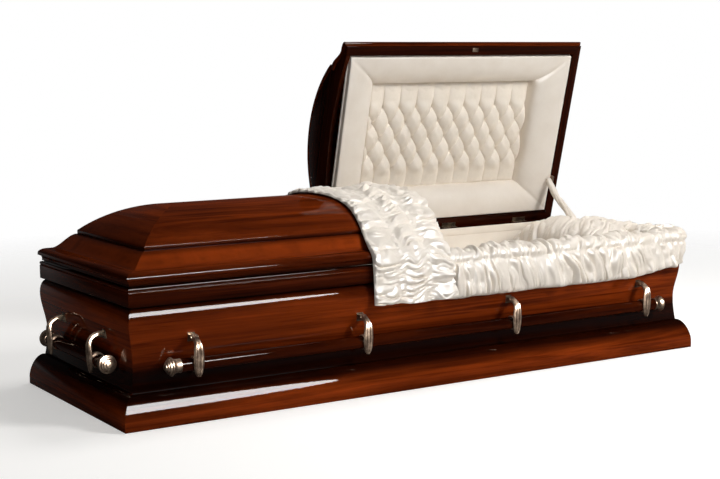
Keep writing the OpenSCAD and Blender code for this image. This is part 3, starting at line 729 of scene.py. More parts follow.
# %% Turned pieces
def turned(name, profile, sides=64):
    deselect()
    z0, r0 = profile[0]
    bpy.ops.mesh.primitive_circle_add(vertices=sides, radius=r0, location=(0, 0, 0))
    piece = named(name)
    edit(piece, "EDGE")
    bpy.ops.transform.translate(value=(0, 0, z0))
    bpy.ops.mesh.edge_face_add()
    bpy.ops.mesh.select_all(action="SELECT")
    bpy.ops.mesh.region_to_loop()
    for z1, r1 in profile[1:]:
        bpy.ops.mesh.extrude_edges_move(TRANSFORM_OT_translate={"value": (0, 0, z1 - z0)})
        bpy.ops.transform.resize(value=(r1 / r0, r1 / r0, 1), center_override=(0, 0, 0))
        z0, r0 = z1, r1
    bpy.ops.mesh.edge_face_add()
    bpy.ops.mesh.select_all(action="SELECT")
    bpy.ops.mesh.normals_make_consistent(inside=False)
    deselect()
    return piece


def rod(at, radius, length, sides, edge=0.0):
    """A round bar along x about a point, with its end edges eased if an edge is given."""
    half = length / 2
    profile = [(-half, radius), (half, radius)]
    if edge:
        profile = [(-half, radius - edge), (-half + edge, radius),
                   (half - edge, radius), (half, radius - edge)]
    return place(turned("rod", profile, sides),
                 Matrix.Translation(at) @ Matrix.Rotation(pi / 2, 4, "Y"))

# %% [markdown]
# ## Handles
# Four bars hang on cast arms: four arms on each long bar and two on each end bar. Every
# arm is the same casting, so we model one on the front and place copies of it. `STANDS`
# lists each arm's place as a matrix that carries the middle of the front to it. An arm
# swings about `PIVOT`, its eye, and holds the bar at `BAR`.

# %% Where the arms stand
PIVOT = Vector((0, -half_wide + 0.024, 0.238))
BAR = Vector((0, -half_wide + 0.013, 0.165))
BAR_R = 0.0185
SIDES = ("front", "back", "foot", "head")
LONG_SIDES = ("front", "back")
LONG_SPOTS, END_SPOTS = (-0.835, -0.280, 0.280, 0.835), (-0.157, 0.157)


def side_matrix(side):
    """Carries the middle of the front to the middle of another side."""
    turn = {"front": 0, "back": pi, "foot": -pi / 2, "head": pi / 2}[side]
    move = {"foot": half_wide - half_long, "head": half_long - half_wide}.get(side, 0)
    return Matrix.Translation((move, 0, 0)) @ Matrix.Rotation(turn, 4, "Z")


STANDS = [(side, side_matrix(side) @ Matrix.Translation((spot, 0, 0))) for side in SIDES
          for spot in (LONG_SPOTS if side in LONG_SIDES else END_SPOTS)]
print(len(STANDS), "arms")


def node_at(kind, matrix):
    """The CAD node of a kind that stands where a matrix puts the front's middle."""
    point = matrix @ PIVOT
    names = [n for n in frame["nodes"] if n.startswith(kind)]
    return min(names, key=lambda n: (Vector([(a + b) / 2 for a, b in zip(*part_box(n))])
                                     - point).length)

# %% [markdown]
# ### The cast arm
# The arm bends out from its eye and hangs in front of the bar like a narrow leaf with
# three ribs. Its section is a circle whose points we move to a ribbed outline. Then we
# extrude it along the bend: each step moves it on, turns it and makes it wider or
# narrower. The eye and the ring that holds the bar are joined on with booleans.

# %% The arm's bend and widths
STRAIGHT = 14                      # steps down the straight leaf
LEAF_TOP, LEAF_LONG = 0.2265, 0.0995
LEAF_THICK = 0.0082
ROUNDED_TIP = (0.86, 0.5)          # the last two stations draw in to a rounded tip


def leaf_half(t):
    """Half the leaf's width: slim at its ends and widest near its middle."""
    return 0.0098 + 0.0072 * sin(pi * t) ** 0.8 - 0.0025 * t * t


def arm_stations():
    """Centre (set-in, height), turn of the section, half width and half thickness."""
    line = [(0.024 - 0.034 * sin(radians(9 * i)), 0.238 - 0.030 * (1 - cos(radians(9 * i))))
            for i in range(11)]
    line += [(-0.010 + 0.0035 * (i / STRAIGHT) ** 2, 0.208 - 0.077 * i / STRAIGHT)
             for i in range(1, STRAIGHT + 1)]
    last = len(line) - 1
    stations = []
    for i, (o, z) in enumerate(line):
        before, after = line[max(i - 1, 0)], line[min(i + 1, last)]
        turn = atan2(after[1] - before[1], after[0] - before[0])
        t = min(max((LEAF_TOP - z) / LEAF_LONG, 0), 1)
        tip = 1 if i < last - 1 else ROUNDED_TIP[i - last + 1]
        thick = LEAF_THICK * (1 - 0.3 * (i / last) ** 4) * (tip + 1) / 2
        stations.append((o, z, turn, leaf_half(t) * tip, thick))
    return stations


print("arm stations", len(arm_stations()))

# %% Arm
def ribbed(x):
    """The front of the leaf's section: a low arch with three ribs."""
    ribs = (0.5 + 0.5 * cos(3 * pi * x)) * (1 - x ** 4)
    return sqrt(max(1 - x * x, 0)) * 0.62 + 0.38 * ribs


def make_arm():
    stations = arm_stations()
    deselect()
    bpy.ops.mesh.primitive_circle_add(vertices=48, radius=1, fill_type="NGON")
    arm = named("cast_arm")
    o0, z0, turn0, half0, thick0 = stations[0]
    for vertex in arm.data.vertices:
        x, n = vertex.co.x, vertex.co.y
        if n > 0:
            n = ribbed(x)
        vertex.co = Vector((x * half0, -half_wide + o0 - sin(turn0) * n * thick0,
                            z0 + abs(cos(turn0)) * n * thick0))
    edit(arm, "FACE")
    for o1, z1, turn1, half1, thick1 in stations[1:]:
        at = (0, -half_wide + o0, z0)
        bpy.ops.mesh.extrude_region_move(TRANSFORM_OT_translate={"value": (0, 0, 0)})
        bpy.ops.transform.resize(value=(half1 / half0, thick1 / thick0, thick1 / thick0),
                                 center_override=at)
        bpy.ops.transform.rotate(value=turn0 - turn1, orient_axis="X", center_override=at)
        bpy.ops.transform.translate(value=(0, o1 - o0, z1 - z0))
        o0, z0, turn0, half0, thick0 = o1, z1, turn1, half1, thick1
    bpy.ops.mesh.select_all(action="SELECT")
    bpy.ops.mesh.normals_make_consistent(inside=False)
    deselect()
    cut_with(arm, rod(PIVOT, 0.0085, 0.015, 40, 0.0012), "UNION")
    cut_with(arm, rod(BAR, BAR_R + 0.0041, 0.018, 56, 0.0015), "UNION")
    cut_with(arm, rod(PIVOT, 0.0031, 0.03, 32))
    cut_with(arm, rod(BAR, BAR_R + 0.0001, 0.04, 56))
    return settle(arm, 38)


def make_lug():
    """The CAD model's lug, moved to the middle, a little smaller and well rounded."""
    lug = merged_copy("lug_front_1", "cast_lug")
    place(lug, Matrix.Translation((-LONG_SPOTS[0], 0, 0)))
    place(lug, Matrix.Translation((0, 0.0006, PIVOT.z)) @ Matrix.Diagonal((0.9, 1, 0.74, 1))
          @ Matrix.Translation((0, 0, -PIVOT.z)))
    return ease_edges(lug, 0.0024, segments=4)


arm, lug = make_arm(), make_lug()
for count, (side, matrix) in enumerate(STANDS):
    dress(duplicate(arm, f"arm_casting_{side}_{count}", matrix), side + "_handle",
          "antique_brass", brass, node_at("arm_" + side, matrix))
    # The lugs get the darker brass as painted shade, since they lie behind the arms.
    dress(duplicate(lug, f"lug_casting_{side}_{count}", matrix), "shell",
          "antique_brass", shaded_dark_brass, node_at("lug_" + side, matrix))
bpy.data.objects.remove(arm)
bpy.data.objects.remove(lug)

# %% [markdown]
# ### Bars and their tips
# The bars are dark turned wood. Each end wears a pressed metal tip: a ferrule with a
# bead, a wide flange, and a stepped dome with a small button.

# %% Bars and tips
# (distance along the bar's axis, radius): ferrule and bead, flange, dome, button
TIP = [(-0.0215, 0.012), (-0.022, 0.0188), (-0.0219, 0.0199), (-0.0212, 0.0206),
       (-0.0200, 0.0207), (-0.0190, 0.0203), (-0.0184, 0.0198), (-0.0070, 0.0199),
       (-0.0040, 0.0204), (-0.0010, 0.0218), (0.0018, 0.0240), (0.0038, 0.0260),
       (0.0052, 0.0268), (0.0066, 0.0269), (0.0080, 0.0262), (0.0089, 0.0248),
       (0.0093, 0.0232), (0.0098, 0.0220), (0.0114, 0.0216), (0.0130, 0.0214),
       (0.0143, 0.0205), (0.0149, 0.0188), (0.0154, 0.0174), (0.0170, 0.0167),
       (0.0186, 0.0156), (0.0196, 0.0138), (0.0200, 0.0118), (0.0206, 0.0106),
       (0.0220, 0.0102), (0.0234, 0.0092), (0.0244, 0.0070), (0.0249, 0.0040),
       (0.0250, 0.0012)]
tip = settle(turned("bar_tip", TIP), 50)
LONG_REACH, END_REACH, TIP_OVERLAP = 0.905, 0.228, 0.019
for side in SIDES:
    reach = LONG_REACH if side in LONG_SIDES else END_REACH
    matrix = side_matrix(side)
    bar = rod(BAR, BAR_R, 2 * (reach - TIP_OVERLAP), 56)
    bar.name = bar.data.name = side + "_bar"
    place(bar, matrix)
    lay_grain(settle(bar, 40), level=0.86)
    dress(bar, side + "_handle", "lacquered_wood", wood, "bar_" + side)
    for end, sign in (("left", -1), ("right", 1)):
        stand = (matrix @ Matrix.Translation((sign * reach, BAR.y, BAR.z))
                 @ Matrix.Rotation(sign * pi / 2, 4, "Y"))
        dress(duplicate(tip, f"{side}_bar_tip_{end}", stand), side + "_handle",
              "antique_brass", brass)
bpy.data.objects.remove(tip)

# %% [markdown]
# ## Hinges, catch and stay bracket
# Each lid turns on three hinges. We copy the CAD model's middle hinge, draw its leaves in
# so that they end before the lining, and place a copy at each hinge's spot on the lid. The
# middle copy is made last, because it takes the CAD node's place and hides it.

# %% Hinges
HINGE_LABELS = ((0, "inner"), (2, "outer"), (1, "middle"))
LEAF_REACH, LEAF_DRAWN_IN = 0.02, 0.0155


def make_leaf(node, name, turned_up, move):
    leaf = merged_copy(node, name)
    place(leaf, turned_up.inverted())
    for vertex in leaf.data.vertices:
        if vertex.co.y < hinge_point.y - LEAF_REACH:
            vertex.co.y = hinge_point.y - LEAF_DRAWN_IN
    return settle(place(leaf, Matrix.Translation((move, 0, 0)) @ turned_up))


for lid, towards in (("foot", -1), ("head", 1)):
    for leaf, body in (("shell_leaf", "shell"), ("lid_leaf", lid + "_lid")):
        node = f"{lid}_hinge_{leaf}"
        turned_up = OPENED if node == "head_hinge_lid_leaf" else Matrix()
        for spot, label in HINGE_LABELS:
            made = make_leaf(node, f"{lid}_{leaf}_{label}", turned_up,
                             towards * HINGE_XS[spot] - towards * HINGE_XS[1])
            stood_for = [node] if label == "middle" else []
            # The hinge leaves get the darker brass as painted shade in the gap under the lid.
            dress(made, body, "antique_brass", shaded_dark_brass, *stood_for)

# %% [markdown]
# The keeper takes the catch when the lid is shut, and the hanger carries the upper end of
# the stay. Both are small plates with eased edges.

# %% Catch and stay bracket
for node, name, eased in (("catch_plate", "catch_keeper", 0.0004),
                          ("stay_bracket", "stay_hanger", 0.0008)):
    dress(ease_edges(merged_copy(node, name), eased), "head_lid", "antique_brass", brass, node)

# %% [markdown]
# ## Cloth
# The lining is crepe, gathered on rows of stitching. A cloth simulation could gather it, but
# would need many trials to put the folds where the stitches hold them. So a sheet is a
# flat grid whose points we move to where the cloth lies: `lay_sheet` takes an array of
# points and gives the cloth its thickness with Solidify. Folds come from `puffs`: the
# zero lines of a noise make sharp valleys between round puffs, which is how gathered cloth
# looks at its stitches.

# %% Lines and their normals
def lengths_along(line):
    """The distance of each point of a polyline from its start."""
    steps = np.linalg.norm(np.diff(line, axis=0), axis=1)
    return np.concatenate([[0], np.cumsum(steps)])


def resample(line, step):
    """Points an even step apart along a polyline, and their distances along it."""
    line = np.asarray(line, float)
    lengths = lengths_along(line)
    count = int(round(lengths[-1] / step)) + 1
    at = np.linspace(0, lengths[-1], count)
    return np.stack([np.interp(at, lengths, column) for column in line.T], 1), at


def smoothed(line, radius):
    """A polyline with its corners rounded by a moving average; the ends stay put."""
    out = line.copy()
    weights = np.ones(2 * radius + 1) / (2 * radius + 1)
    for _ in range(3):
        longer = np.concatenate([2 * out[:1] - out[radius:0:-1], out,
                                 2 * out[-1:] - out[-2:-radius - 2:-1]])
        out = np.stack([np.convolve(column, weights, "valid") for column in longer.T], 1)
    return out


def normals_of(line):
    """The unit normals of a flat polyline, on the left of its run."""
    tangent = np.gradient(line, axis=0)
    tangent /= np.linalg.norm(tangent, axis=1)[:, None]
    return np.stack([-tangent[:, 1], tangent[:, 0]], 1)


def bell(distance, width, power=2):
    """1 at no distance, falling smoothly to 0 beyond a width."""
    return np.exp(-(distance / width) ** power)

# %% Sheets and folds
def lay_sheet(name, points, thickness):
    """points[i, j] is where the cloth's point i across and j along ends up."""
    across, along = points.shape[:2]
    deselect()
    bpy.ops.mesh.primitive_grid_add(x_subdivisions=across - 1, y_subdivisions=along - 1,
                                    size=2, location=(0, 0, 0))
    piece = named(name)
    flat = points_of(piece)
    i = np.rint((flat[:, 0] + 1) / 2 * (across - 1)).astype(int)
    j = np.rint((flat[:, 1] + 1) / 2 * (along - 1)).astype(int)
    move_points(piece, points[i, j])
    if thickness:
        cloth = piece.modifiers.new("cloth", "SOLIDIFY")
        cloth.thickness, cloth.offset = thickness, 0
    return settle(piece, 60)


def puffs(x, y, seed, power=0.7):
    """Round puffs with sharp valleys between them, from 0 to about 1."""
    return np.abs(bumps(x, y, seed) * 1.5) ** power

# %% [markdown]
# ### The throw over the foot lid
# One cloth lies across the head end of the foot lid, falls over the lid's lip in front
# and hangs down past the rim as an apron. It is drawn up on two rows of stitching that run
# over the lid, so the folds between the rows run lengthwise. We follow the lid's section
# as a taut band, and push the cloth out from it by the height of the folds.

# %% The taut line of the throw
CROWN_IN, CROWN_HIGH = 0.125, 0.090
LIP_FACE_IN = 0.030
HEM_Z = 0.264
OFF_CROWN = 0.003                  # the taut line lies this far over the crown
THROW_STEP = 0.0026


def throw_line():
    """The line of the cloth across the lid, as (y, z), from the front hem to the back."""
    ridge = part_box("foot_lid_crown")[1].z
    half = half_wide - CROWN_IN
    radius = (half * half + CROWN_HIGH ** 2) / (2 * CROWN_HIGH)
    front = half_wide - LIP_FACE_IN
    line = [(-front - 0.0085, HEM_Z), (-front - 0.006, 0.330), (-front - 0.0035, 0.392),
            (-front - 0.003, 0.404), (-front - 0.001, 0.416)]
    line += [(y, ridge - radius + sqrt(radius * radius - y * y) + OFF_CROWN)
             for y in np.linspace(-half, half, 60)]
    line += [(front + 0.001, 0.416), (front + 0.003, 0.404), (front + 0.003, 0.3935)]
    points, _ = resample(line, THROW_STEP)
    return smoothed(points, 3)


# Side edges of the throw: (y across the lid, x of the edge), from the front to the back
LEFT_EDGE = [(-0.347, -0.243), (-0.330, -0.245), (-0.266, -0.226), (-0.211, -0.214),
             (-0.149, -0.211), (-0.105, -0.214), (-0.070, -0.226), (-0.035, -0.246),
             (0.01, -0.264), (0.08, -0.268), (0.2, -0.262), (0.35, -0.255)]
RIGHT_EDGE = [(-0.347, 0.034), (-0.30, 0.042), (-0.25, 0.054), (-0.15, 0.074), (0, 0.066),
              (0.2, 0.060), (0.35, 0.05)]
# The apron's right edge by height: (z, x)
APRON_RIGHT = [(HEM_Z, 0.052), (0.33, 0.042), (0.40, 0.036)]
APRON_LEFT = -0.240


def throw_edges(y, z, apron):
    left = np.interp(y, *zip(*LEFT_EDGE)) * (1 - apron) + APRON_LEFT * apron
    right = (np.interp(y, *zip(*RIGHT_EDGE)) * (1 - apron)
             + np.interp(z, *zip(*APRON_RIGHT)) * apron)
    return smoothed(left[:, None], 12)[:, 0], smoothed(right[:, None], 10)[:, 0]

# %% Folds of the throw
ROW_A, ROW_B = 0.36, 0.70          # the rows of stitching, as shares of the width


def throw_folds(s, u, x, width):
    """Height of the folds at s along the line and u across it, in metres."""
    row = np.minimum(np.abs(u - ROW_A), np.abs(u - ROW_B)) * width
    lane = (u > ROW_A).astype(float) + (u > ROW_B)
    sway = 0.016 * bumps(x / 0.075, s / 0.09, 5) + 0.010 * bumps(x / 0.032, s / 0.05, 6)
    away = soft(row / 0.030)
    broad = (puffs((s + sway) / 0.019, x / 0.085 + 9 * lane, 11, 0.6)
             * (0.45 + 0.55 * puffs(s / 0.05, x / 0.07, 12, 1)))
    middle = puffs((s + 1.6 * sway) / 0.012, x / 0.04, 13)
    tight = puffs((s + 0.4 * sway) / 0.0065, x / 0.018, 14)
    height = 0.0150 * broad * (0.12 + 0.88 * away) + 0.0042 * middle * (0.4 + 0.6 * away)
    height = height + 0.0050 * tight * bell(row, 0.013)
    # The left edge lies flatter, with a narrow rolled hem
    height = height * (0.55 + 0.45 * soft((u * width) / 0.02)) * soft((u * width) / 0.006 + 0.1)
    hem = bell(u * width - 0.004, 0.0036)
    height = height + 0.0034 * hem * (1 + 0.5 * bumps(s / 0.006, u * 3, 15))
    return height + 0.0032 * soft(bumps(x / 0.10, s / 0.13, 16) + 0.4)

# %% Throw
THROW_ACROSS, THROW_THICK = 92, 0.0012


def make_throw():
    line = throw_line()
    y, z = line.T
    apron = soft((0.40 - z) / 0.05) * (y < 0)
    left, right = throw_edges(y, z, apron)
    u = np.linspace(0, 1, THROW_ACROSS)[:, None]
    s = lengths_along(line)[None, :]
    width = (right - left)[None, :]
    x = left[None, :] + u * width
    x = x + 0.004 * bumps(s / 0.045, u * 2, 3) * soft((u - 0.6) / 0.4)
    height = throw_folds(s, u, x, width)
    # Past the lid's end the cloth is free, and sinks a little
    free = np.clip((x - 0.005) / 0.08, 0, 1.3) * (1 - apron[None, :])
    drop = 0.0025 * free ** 2 * (1 + 0.6 * bumps(s / 0.05, u, 17))
    # The apron hangs over the rim cloth, so it stands off further on the right
    over_rim = apron[None, :] * soft((x + 0.02) / 0.06) * 0.0125
    out = 0.0010 + 0.0026 * u + height - drop + over_rim
    normal_y, normal_z = normals_of(line).T
    points = np.empty((*out.shape, 3))
    points[..., 0] = x
    points[..., 1] = y[None, :] + normal_y[None, :] * out
    points[..., 2] = z[None, :] + normal_z[None, :] * out
    tail = (apron * soft((0.30 - z) / 0.04))[None, :]
    points[..., 2] += tail * (0.004 * bumps(x / 0.045, 0 * s, 18) + 0.003)
    print("throw stands off by", round(float(out.min()), 4), "to", round(float(out.max()), 4))
    return lay_sheet("lid_cloth", points, THROW_THICK)


throw = make_throw()
dress(throw, "foot_lid", "lining_cloth", ivory, "lid_throw")
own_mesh(throw)

# %% [markdown]
# ### The cloth over the rim
# At the head end the cloth is folded over the rim. It has a row of stitching just below
# the rim's top and a gathered hem, so long upright folds hang between the two, and a
# ruffle stands above the row. We sweep one section round the front, the corner and the
# head end, and let the folds change along the way.

# %% The section and the path of the rim cloth
# (set-in, height) from the hem up the outside, over the rim and down the inside
RIM_CLOTH = [(0.0245, 0.2625), (0.0205, 0.2700), (0.0175, 0.2850), (0.0160, 0.3100),
             (0.0165, 0.3350), (0.0195, 0.3600), (0.0220, 0.3760), (0.0225, 0.3860),
             (0.0245, 0.3940), (0.0300, 0.4000), (0.0400, 0.4030), (0.0520, 0.4035),
             (0.0650, 0.4025), (0.0780, 0.3990), (0.0900, 0.3930), (0.0965, 0.3850),
             (0.0970, 0.3730), (0.0900, 0.3540), (0.0850, 0.3350)]
RIM_STATIONS, RIM_STEP, RIM_THICK = 760, 0.0048, 0.0011
ROW_UP = 0.113                     # the row of stitching, measured up the cloth from its hem
INNER_SEAM = (0.0965, 0.385)       # the seam inside the rim, as (set-in, height)
HEM_DRAWN_UP = 0.30
CORNER_R, CLOTH_FROM_X, CLOTH_TO_Y = 0.078, 0.030, 0.128


def rim_path():
    """(x, y, outward x, outward y) along the front, round the corner and up the end."""
    cx, cy = half_long - CORNER_R, -half_wide + CORNER_R
    path = [(x, -half_wide, 0, -1) for x in np.linspace(CLOTH_FROM_X, cx, 40)[:-1]]
    path += [(cx + CORNER_R * sin(t), cy - CORNER_R * cos(t), sin(t), -cos(t))
             for t in np.linspace(0, pi / 2, 30)]
    path += [(half_long, y, 1, 0) for y in np.linspace(cy, CLOTH_TO_Y, 30)[1:]]
    line = np.array(path)
    lengths = lengths_along(line[:, :2])
    at = np.linspace(0, lengths[-1], RIM_STATIONS)
    return np.stack([np.interp(at, lengths, column) for column in line.T], 1), at

# %% Folds of the rim cloth
def rim_folds(s, d, stitch, inner):
    """Height of the folds at s round the rim and d up the section, and their lean."""
    to_row, to_inner = np.abs(d - stitch), np.abs(d - inner)
    below = (d < stitch).astype(float)
    top = (d >= stitch) * (d <= inner)
    lean = (0.024 * bumps(s / 0.12, d / 0.10, 21) + 0.009 * bumps(s / 0.04, d / 0.05, 22)
            + 0.16 * (d - 0.06) * below)
    hang = puffs((s + lean) / 0.0190, d / 0.13, 23, 0.65)
    hang2 = puffs((s + lean) / 0.0115, d / 0.14, 24, 0.8)
    ruffle = puffs((s + 0.8 * lean) / 0.0125, d / 0.05 + 7, 25)
    ruffle2 = puffs((s + 1.5 * lean) / 0.024, d / 0.05 + 3, 26)
    fine = puffs((s + 0.3 * lean) / 0.0062, d / 0.045, 27)
    frill = 0.5 + 0.5 * np.sin(2 * pi * (s / 0.0092 + 0.8 * bumps(s / 0.02, 0 * d, 28)))
    swell = (0.5 + 0.5 * soft(to_row / 0.016)) * soft(d / 0.014)
    height = below * swell * (0.0180 * hang * (0.25 + 0.75 * puffs(s / 0.055, d / 0.1, 29, 1))
                              + 0.0060 * hang2)
    height = height + top * (0.4 + 0.6 * soft(to_row / 0.012)) * soft(to_inner / 0.010) * (
        0.0060 * ruffle + 0.0100 * ruffle2)
    height = height + (d > inner) * soft(to_inner / 0.015) * 0.0065 * hang
    height = height + 0.0042 * fine * (0.6 * bell(to_row, 0.010) + bell(to_inner, 0.010))
    height = height + 0.0052 * frill * bell(d - 0.004, 0.0055)
    return height + 0.002 * soft(bumps(s / 0.15, d / 0.08, 30) + 0.5) * below, lean


def calm_folds(height, s, z, path, round_end):
    """Flatter folds at the cloth's ends, over a raised arm and round the corner."""
    ends = soft((s - s[0]) / 0.03 + 0.3) * soft((s[-1] - s) / 0.03 + 0.3)
    x, out_y = path[:, 0][:, None], path[:, 3][:, None]
    over_arm = bell(x - LONG_SPOTS[3], 0.028, 4) * soft((0.325 - z) / 0.035)[None, :]
    height = height * ends * (1 - 0.8 * over_arm * (out_y < -0.9))
    return height * (1 - 0.6 * round_end * soft((0.34 - z) / 0.06)[None, :])

# %% Cloth over the rim
def make_rim_cloth():
    path, run = rim_path()
    section, v = resample(RIM_CLOTH, RIM_STEP)
    section = smoothed(section, 1)
    out_o, out_z = normals_of(section).T
    o, z = section.T
    s, d = run[:, None], v[None, :]
    stitch = v[np.argmin(np.abs(v - ROW_UP))] + 0.005 * bumps(run / 0.11, 0 * run, 35)[:, None]
    inner = v[np.argmin((o - INNER_SEAM[0]) ** 2 + (z - INNER_SEAM[1]) ** 2)]
    folds, lean = rim_folds(s, d, stitch, inner)
    turn = run[np.argmax(path[:, 2] > 0.2)]
    round_end = soft((s - turn + 0.04) / 0.10)
    height = calm_folds(folds, s, z, path, round_end)
    # Round the corner the hem is drawn up along the section
    up = np.where(o < 0.03, np.clip(0.37 - z, 0, 1), 0)[None, :] * HEM_DRAWN_UP * soft(
        (s - turn + 0.24) / 0.32)
    front = o < 0.024
    order = np.argsort(z[front])
    lift_z = z[None, :] + up
    lift_o = np.where(up > 0, np.interp(lift_z, z[front][order], o[front][order]), o[None, :])
    depth = lift_o + out_o[None, :] * height
    rise = lift_z + out_z[None, :] * height
    # The crest and the hem wander a little
    crest = bell(z - 0.403, 0.012)[None, :]
    rise = rise + crest * (0.005 * bumps(s / 0.035, 0 * d, 31)
                           + 0.0035 * bumps(s / 0.013, 0 * d, 32))
    rise = rise + bell(d, 0.02) * 0.003 * bumps(s / 0.05, 0 * d, 33)
    # At the corner and along the end the cloth bellies out
    corner = bell(s - run[np.argmax(path[:, 2] > 0.7)], 0.07)
    belly = bell(z - 0.365, 0.05)[None, :] * (o[None, :] < 0.06)
    depth = depth - (0.007 * corner * (o[None, :] < 0.06) * soft((z - 0.29) / 0.04)[None, :]
                     + 0.009 * belly * round_end)
    slide = 0.0035 * bumps((s + lean) / 0.011, d / 0.05, 34) * soft(height / 0.006)
    nx, ny = path[:, 2][:, None], path[:, 3][:, None]
    length = np.hypot(nx, ny)
    nx, ny = nx / length, ny / length
    points = np.empty((len(run), len(v), 3))
    points[..., 0] = path[:, 0][:, None] - nx * depth - ny * slide
    points[..., 1] = path[:, 1][:, None] - ny * depth + nx * slide
    points[..., 2] = rise
    return lay_sheet("rim_cloth", points, RIM_THICK)


rim_cloth = make_rim_cloth()
dress(rim_cloth, "shell", "lining_cloth", ivory, "rim_skirt")
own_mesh(rim_cloth)

# %% [markdown]
# ### The body lining
# Inside the shell the same cloth is stretched plainly over a board, with a turned hem
# along the top. It is a thin band that runs round the inside of the walls, so we can use
# `mitred_frame` again, and then ripple its face a little.

# %% Body lining
LINING_IN = WALL_IN + 0.0006
# (distance in from LINING_IN, height): up the board, over the hem and down the cloth
LINING = [(0, 0.182), (0, 0.386), (0.0022, 0.3868), (0.0045, 0.386), (0.0054, 0.383),
          (0.0052, 0.362), (0.0045, 0.3605), (0.0034, 0.3600), (0.0036, 0.3560),
          (0.0060, 0.300), (0.0062, 0.240), (0.0046, 0.182)]


def round_frame(co, half_x, half_y):
    """For a frame's points: on a long side or not, way in, way along, and way past the mitre."""
    from_x, from_y = half_x - np.abs(co[:, 0]), half_y - np.abs(co[:, 1])
    on_side = from_y < from_x
    inward = np.where(on_side, from_y, from_x)
    along = np.where(on_side, co[:, 0], co[:, 1] + 5)
    return on_side, inward, along, from_x - from_y


def make_lining():
    section = [(LINING_IN + o, z) for o, z in LINING]
    lining = mitred_frame("lining_band", section, half_long, half_wide, cuts=150)
    co = points_of(lining)
    on_side, inward, along, _ = round_frame(co, half_long, half_wide)
    face = soft((0.366 - co[:, 2]) / 0.012) * soft((inward - LINING_IN - 0.002) / 0.003)
    ripple = face * (0.0022 * bumps(along / 0.16, co[:, 2] / 0.12, 41)
                     + 0.0008 * bumps(along / 0.03, co[:, 2] / 0.05, 42))
    co[:, 1] -= np.where(on_side, np.sign(co[:, 1]) * ripple, 0)
    co[:, 0] -= np.where(on_side, 0, np.sign(co[:, 0]) * ripple)
    # The hem is pressed flat behind the bracket of the lid's stay
    behind = bell(co[:, 1] - 0.176, 0.030, 4) * (co[:, 0] > 0.9) * (co[:, 2] > 0.34)
    co[:, 0] += behind * 0.6 * np.clip(half_long - LINING_IN - 0.0016 - co[:, 0], 0, 1)
    move_points(lining, co)
    return settle(lining, 50)


lining = make_lining()
dress(lining, "shell", "lining_cloth", cream, "body_lining")

# %% [markdown]
# ## Padding in the head lid
# The head lid has a wide padded frame and, deeper in, a tufted panel. Upholsterers pull the
# cloth of such a frame over wadding and nail it along both seams, so its shape is fixed by
# the boards behind it. We don't simulate it: it is one more mitred frame, swollen between
# its inner and outer seams, with faint pulls towards the mitres. Both parts are made for
# the shut lid and then opened with it.

# %% The padded frame's section
CAP_X0, CAP_X1, CAP_Y = 0.0182, 0.9824, 0.3044
CAP_MID, CAP_X = (CAP_X0 + CAP_X1) / 2, (CAP_X1 - CAP_X0) / 2
LAP = 0.005                        # a groove this wide runs round the lid's opening
PAD_WIDE, PAD_HIGH = 0.107, 0.0615


def cap_section():
    """(set-in from the lid's opening, height): over the front, then along the back."""
    front = [(LAP, 0.0030), (LAP + 0.0006, 0.0002), (LAP + 0.003, -0.0015)]
    front += [(LAP + 0.003 + (PAD_WIDE - LAP) * t, -0.0015 + PAD_HIGH * (1 - (1 - t ** 2.6) ** 0.5))
              for t in [1 - (1 - i / 30) ** 1.5 for i in range(1, 31)]]
    back = [(0.1125, 0.0740), (0.066, 0.0620), (0.036, 0.0500), (0.014, 0.0300), (0.001, 0.0200),
            (0.001, 0.0160), (LAP - 0.001, 0.0140)]
    return [(o, lid_foot + z) for o, z in front + back]


print("padded frame section", len(cap_section()), "points")

# %% Padded frame
def make_cap_frame():
    pad = mitred_frame("cap_frame", cap_section(), CAP_X, CAP_Y, cuts=130)
    co = points_of(pad)
    _, inward, along, past_mitre = round_frame(co, CAP_X, CAP_Y)
    front = co[:, 2] < lid_foot + 0.063
    show = soft(inward / 0.012) * soft((0.111 - inward) / 0.012) * front
    pull = 0.0028 * bell(past_mitre, 0.010) * show
    pull += 0.0006 * show * bumps(along / 0.10, inward / 0.06, 51)
    pull += 0.0009 * show * bell(past_mitre, 0.10) * puffs(
        (along + inward) / 0.028, inward / 0.12, 52)
    pull += 0.0010 * bell(inward - 0.106, 0.006) * front * bumps(along / 0.012, 0 * inward, 53)
    co[:, 2] += pull
    # The end boards are wider than the side boards, so each ring is drawn in along x
    co[:, 0] *= 1 - 0.022 * soft(inward / 0.11) / (CAP_X - inward)
    move_points(pad, co)
    return place(settle(pad, 50), OPENED @ Matrix.Translation((CAP_MID, 0, 0)))


cap_frame = make_cap_frame()
dress(cap_frame, "head_lid", "lining_cloth", ivory, "cap_roll")

# %% [markdown]
# ### The tufted panel
# Tufting pulls the cloth down to a board at points in a diamond pattern. Between
# neighbouring points the cloth folds into a straight pleat, and inside each diamond it
# stands up as a puff. In slanted coordinates the pleats are simply where either number
# is whole, so the height of the puff follows from the distance to the nearest pleat.

# %% Height of the tufts
ROW_PITCH, COLUMN_PITCH = 0.0562, 0.0700
FIRST_ROW, FIRST_COLUMN = -0.105, 0.214
LAST_ROW = 4


def to_whole(x):
    return np.abs(x - np.rint(x))


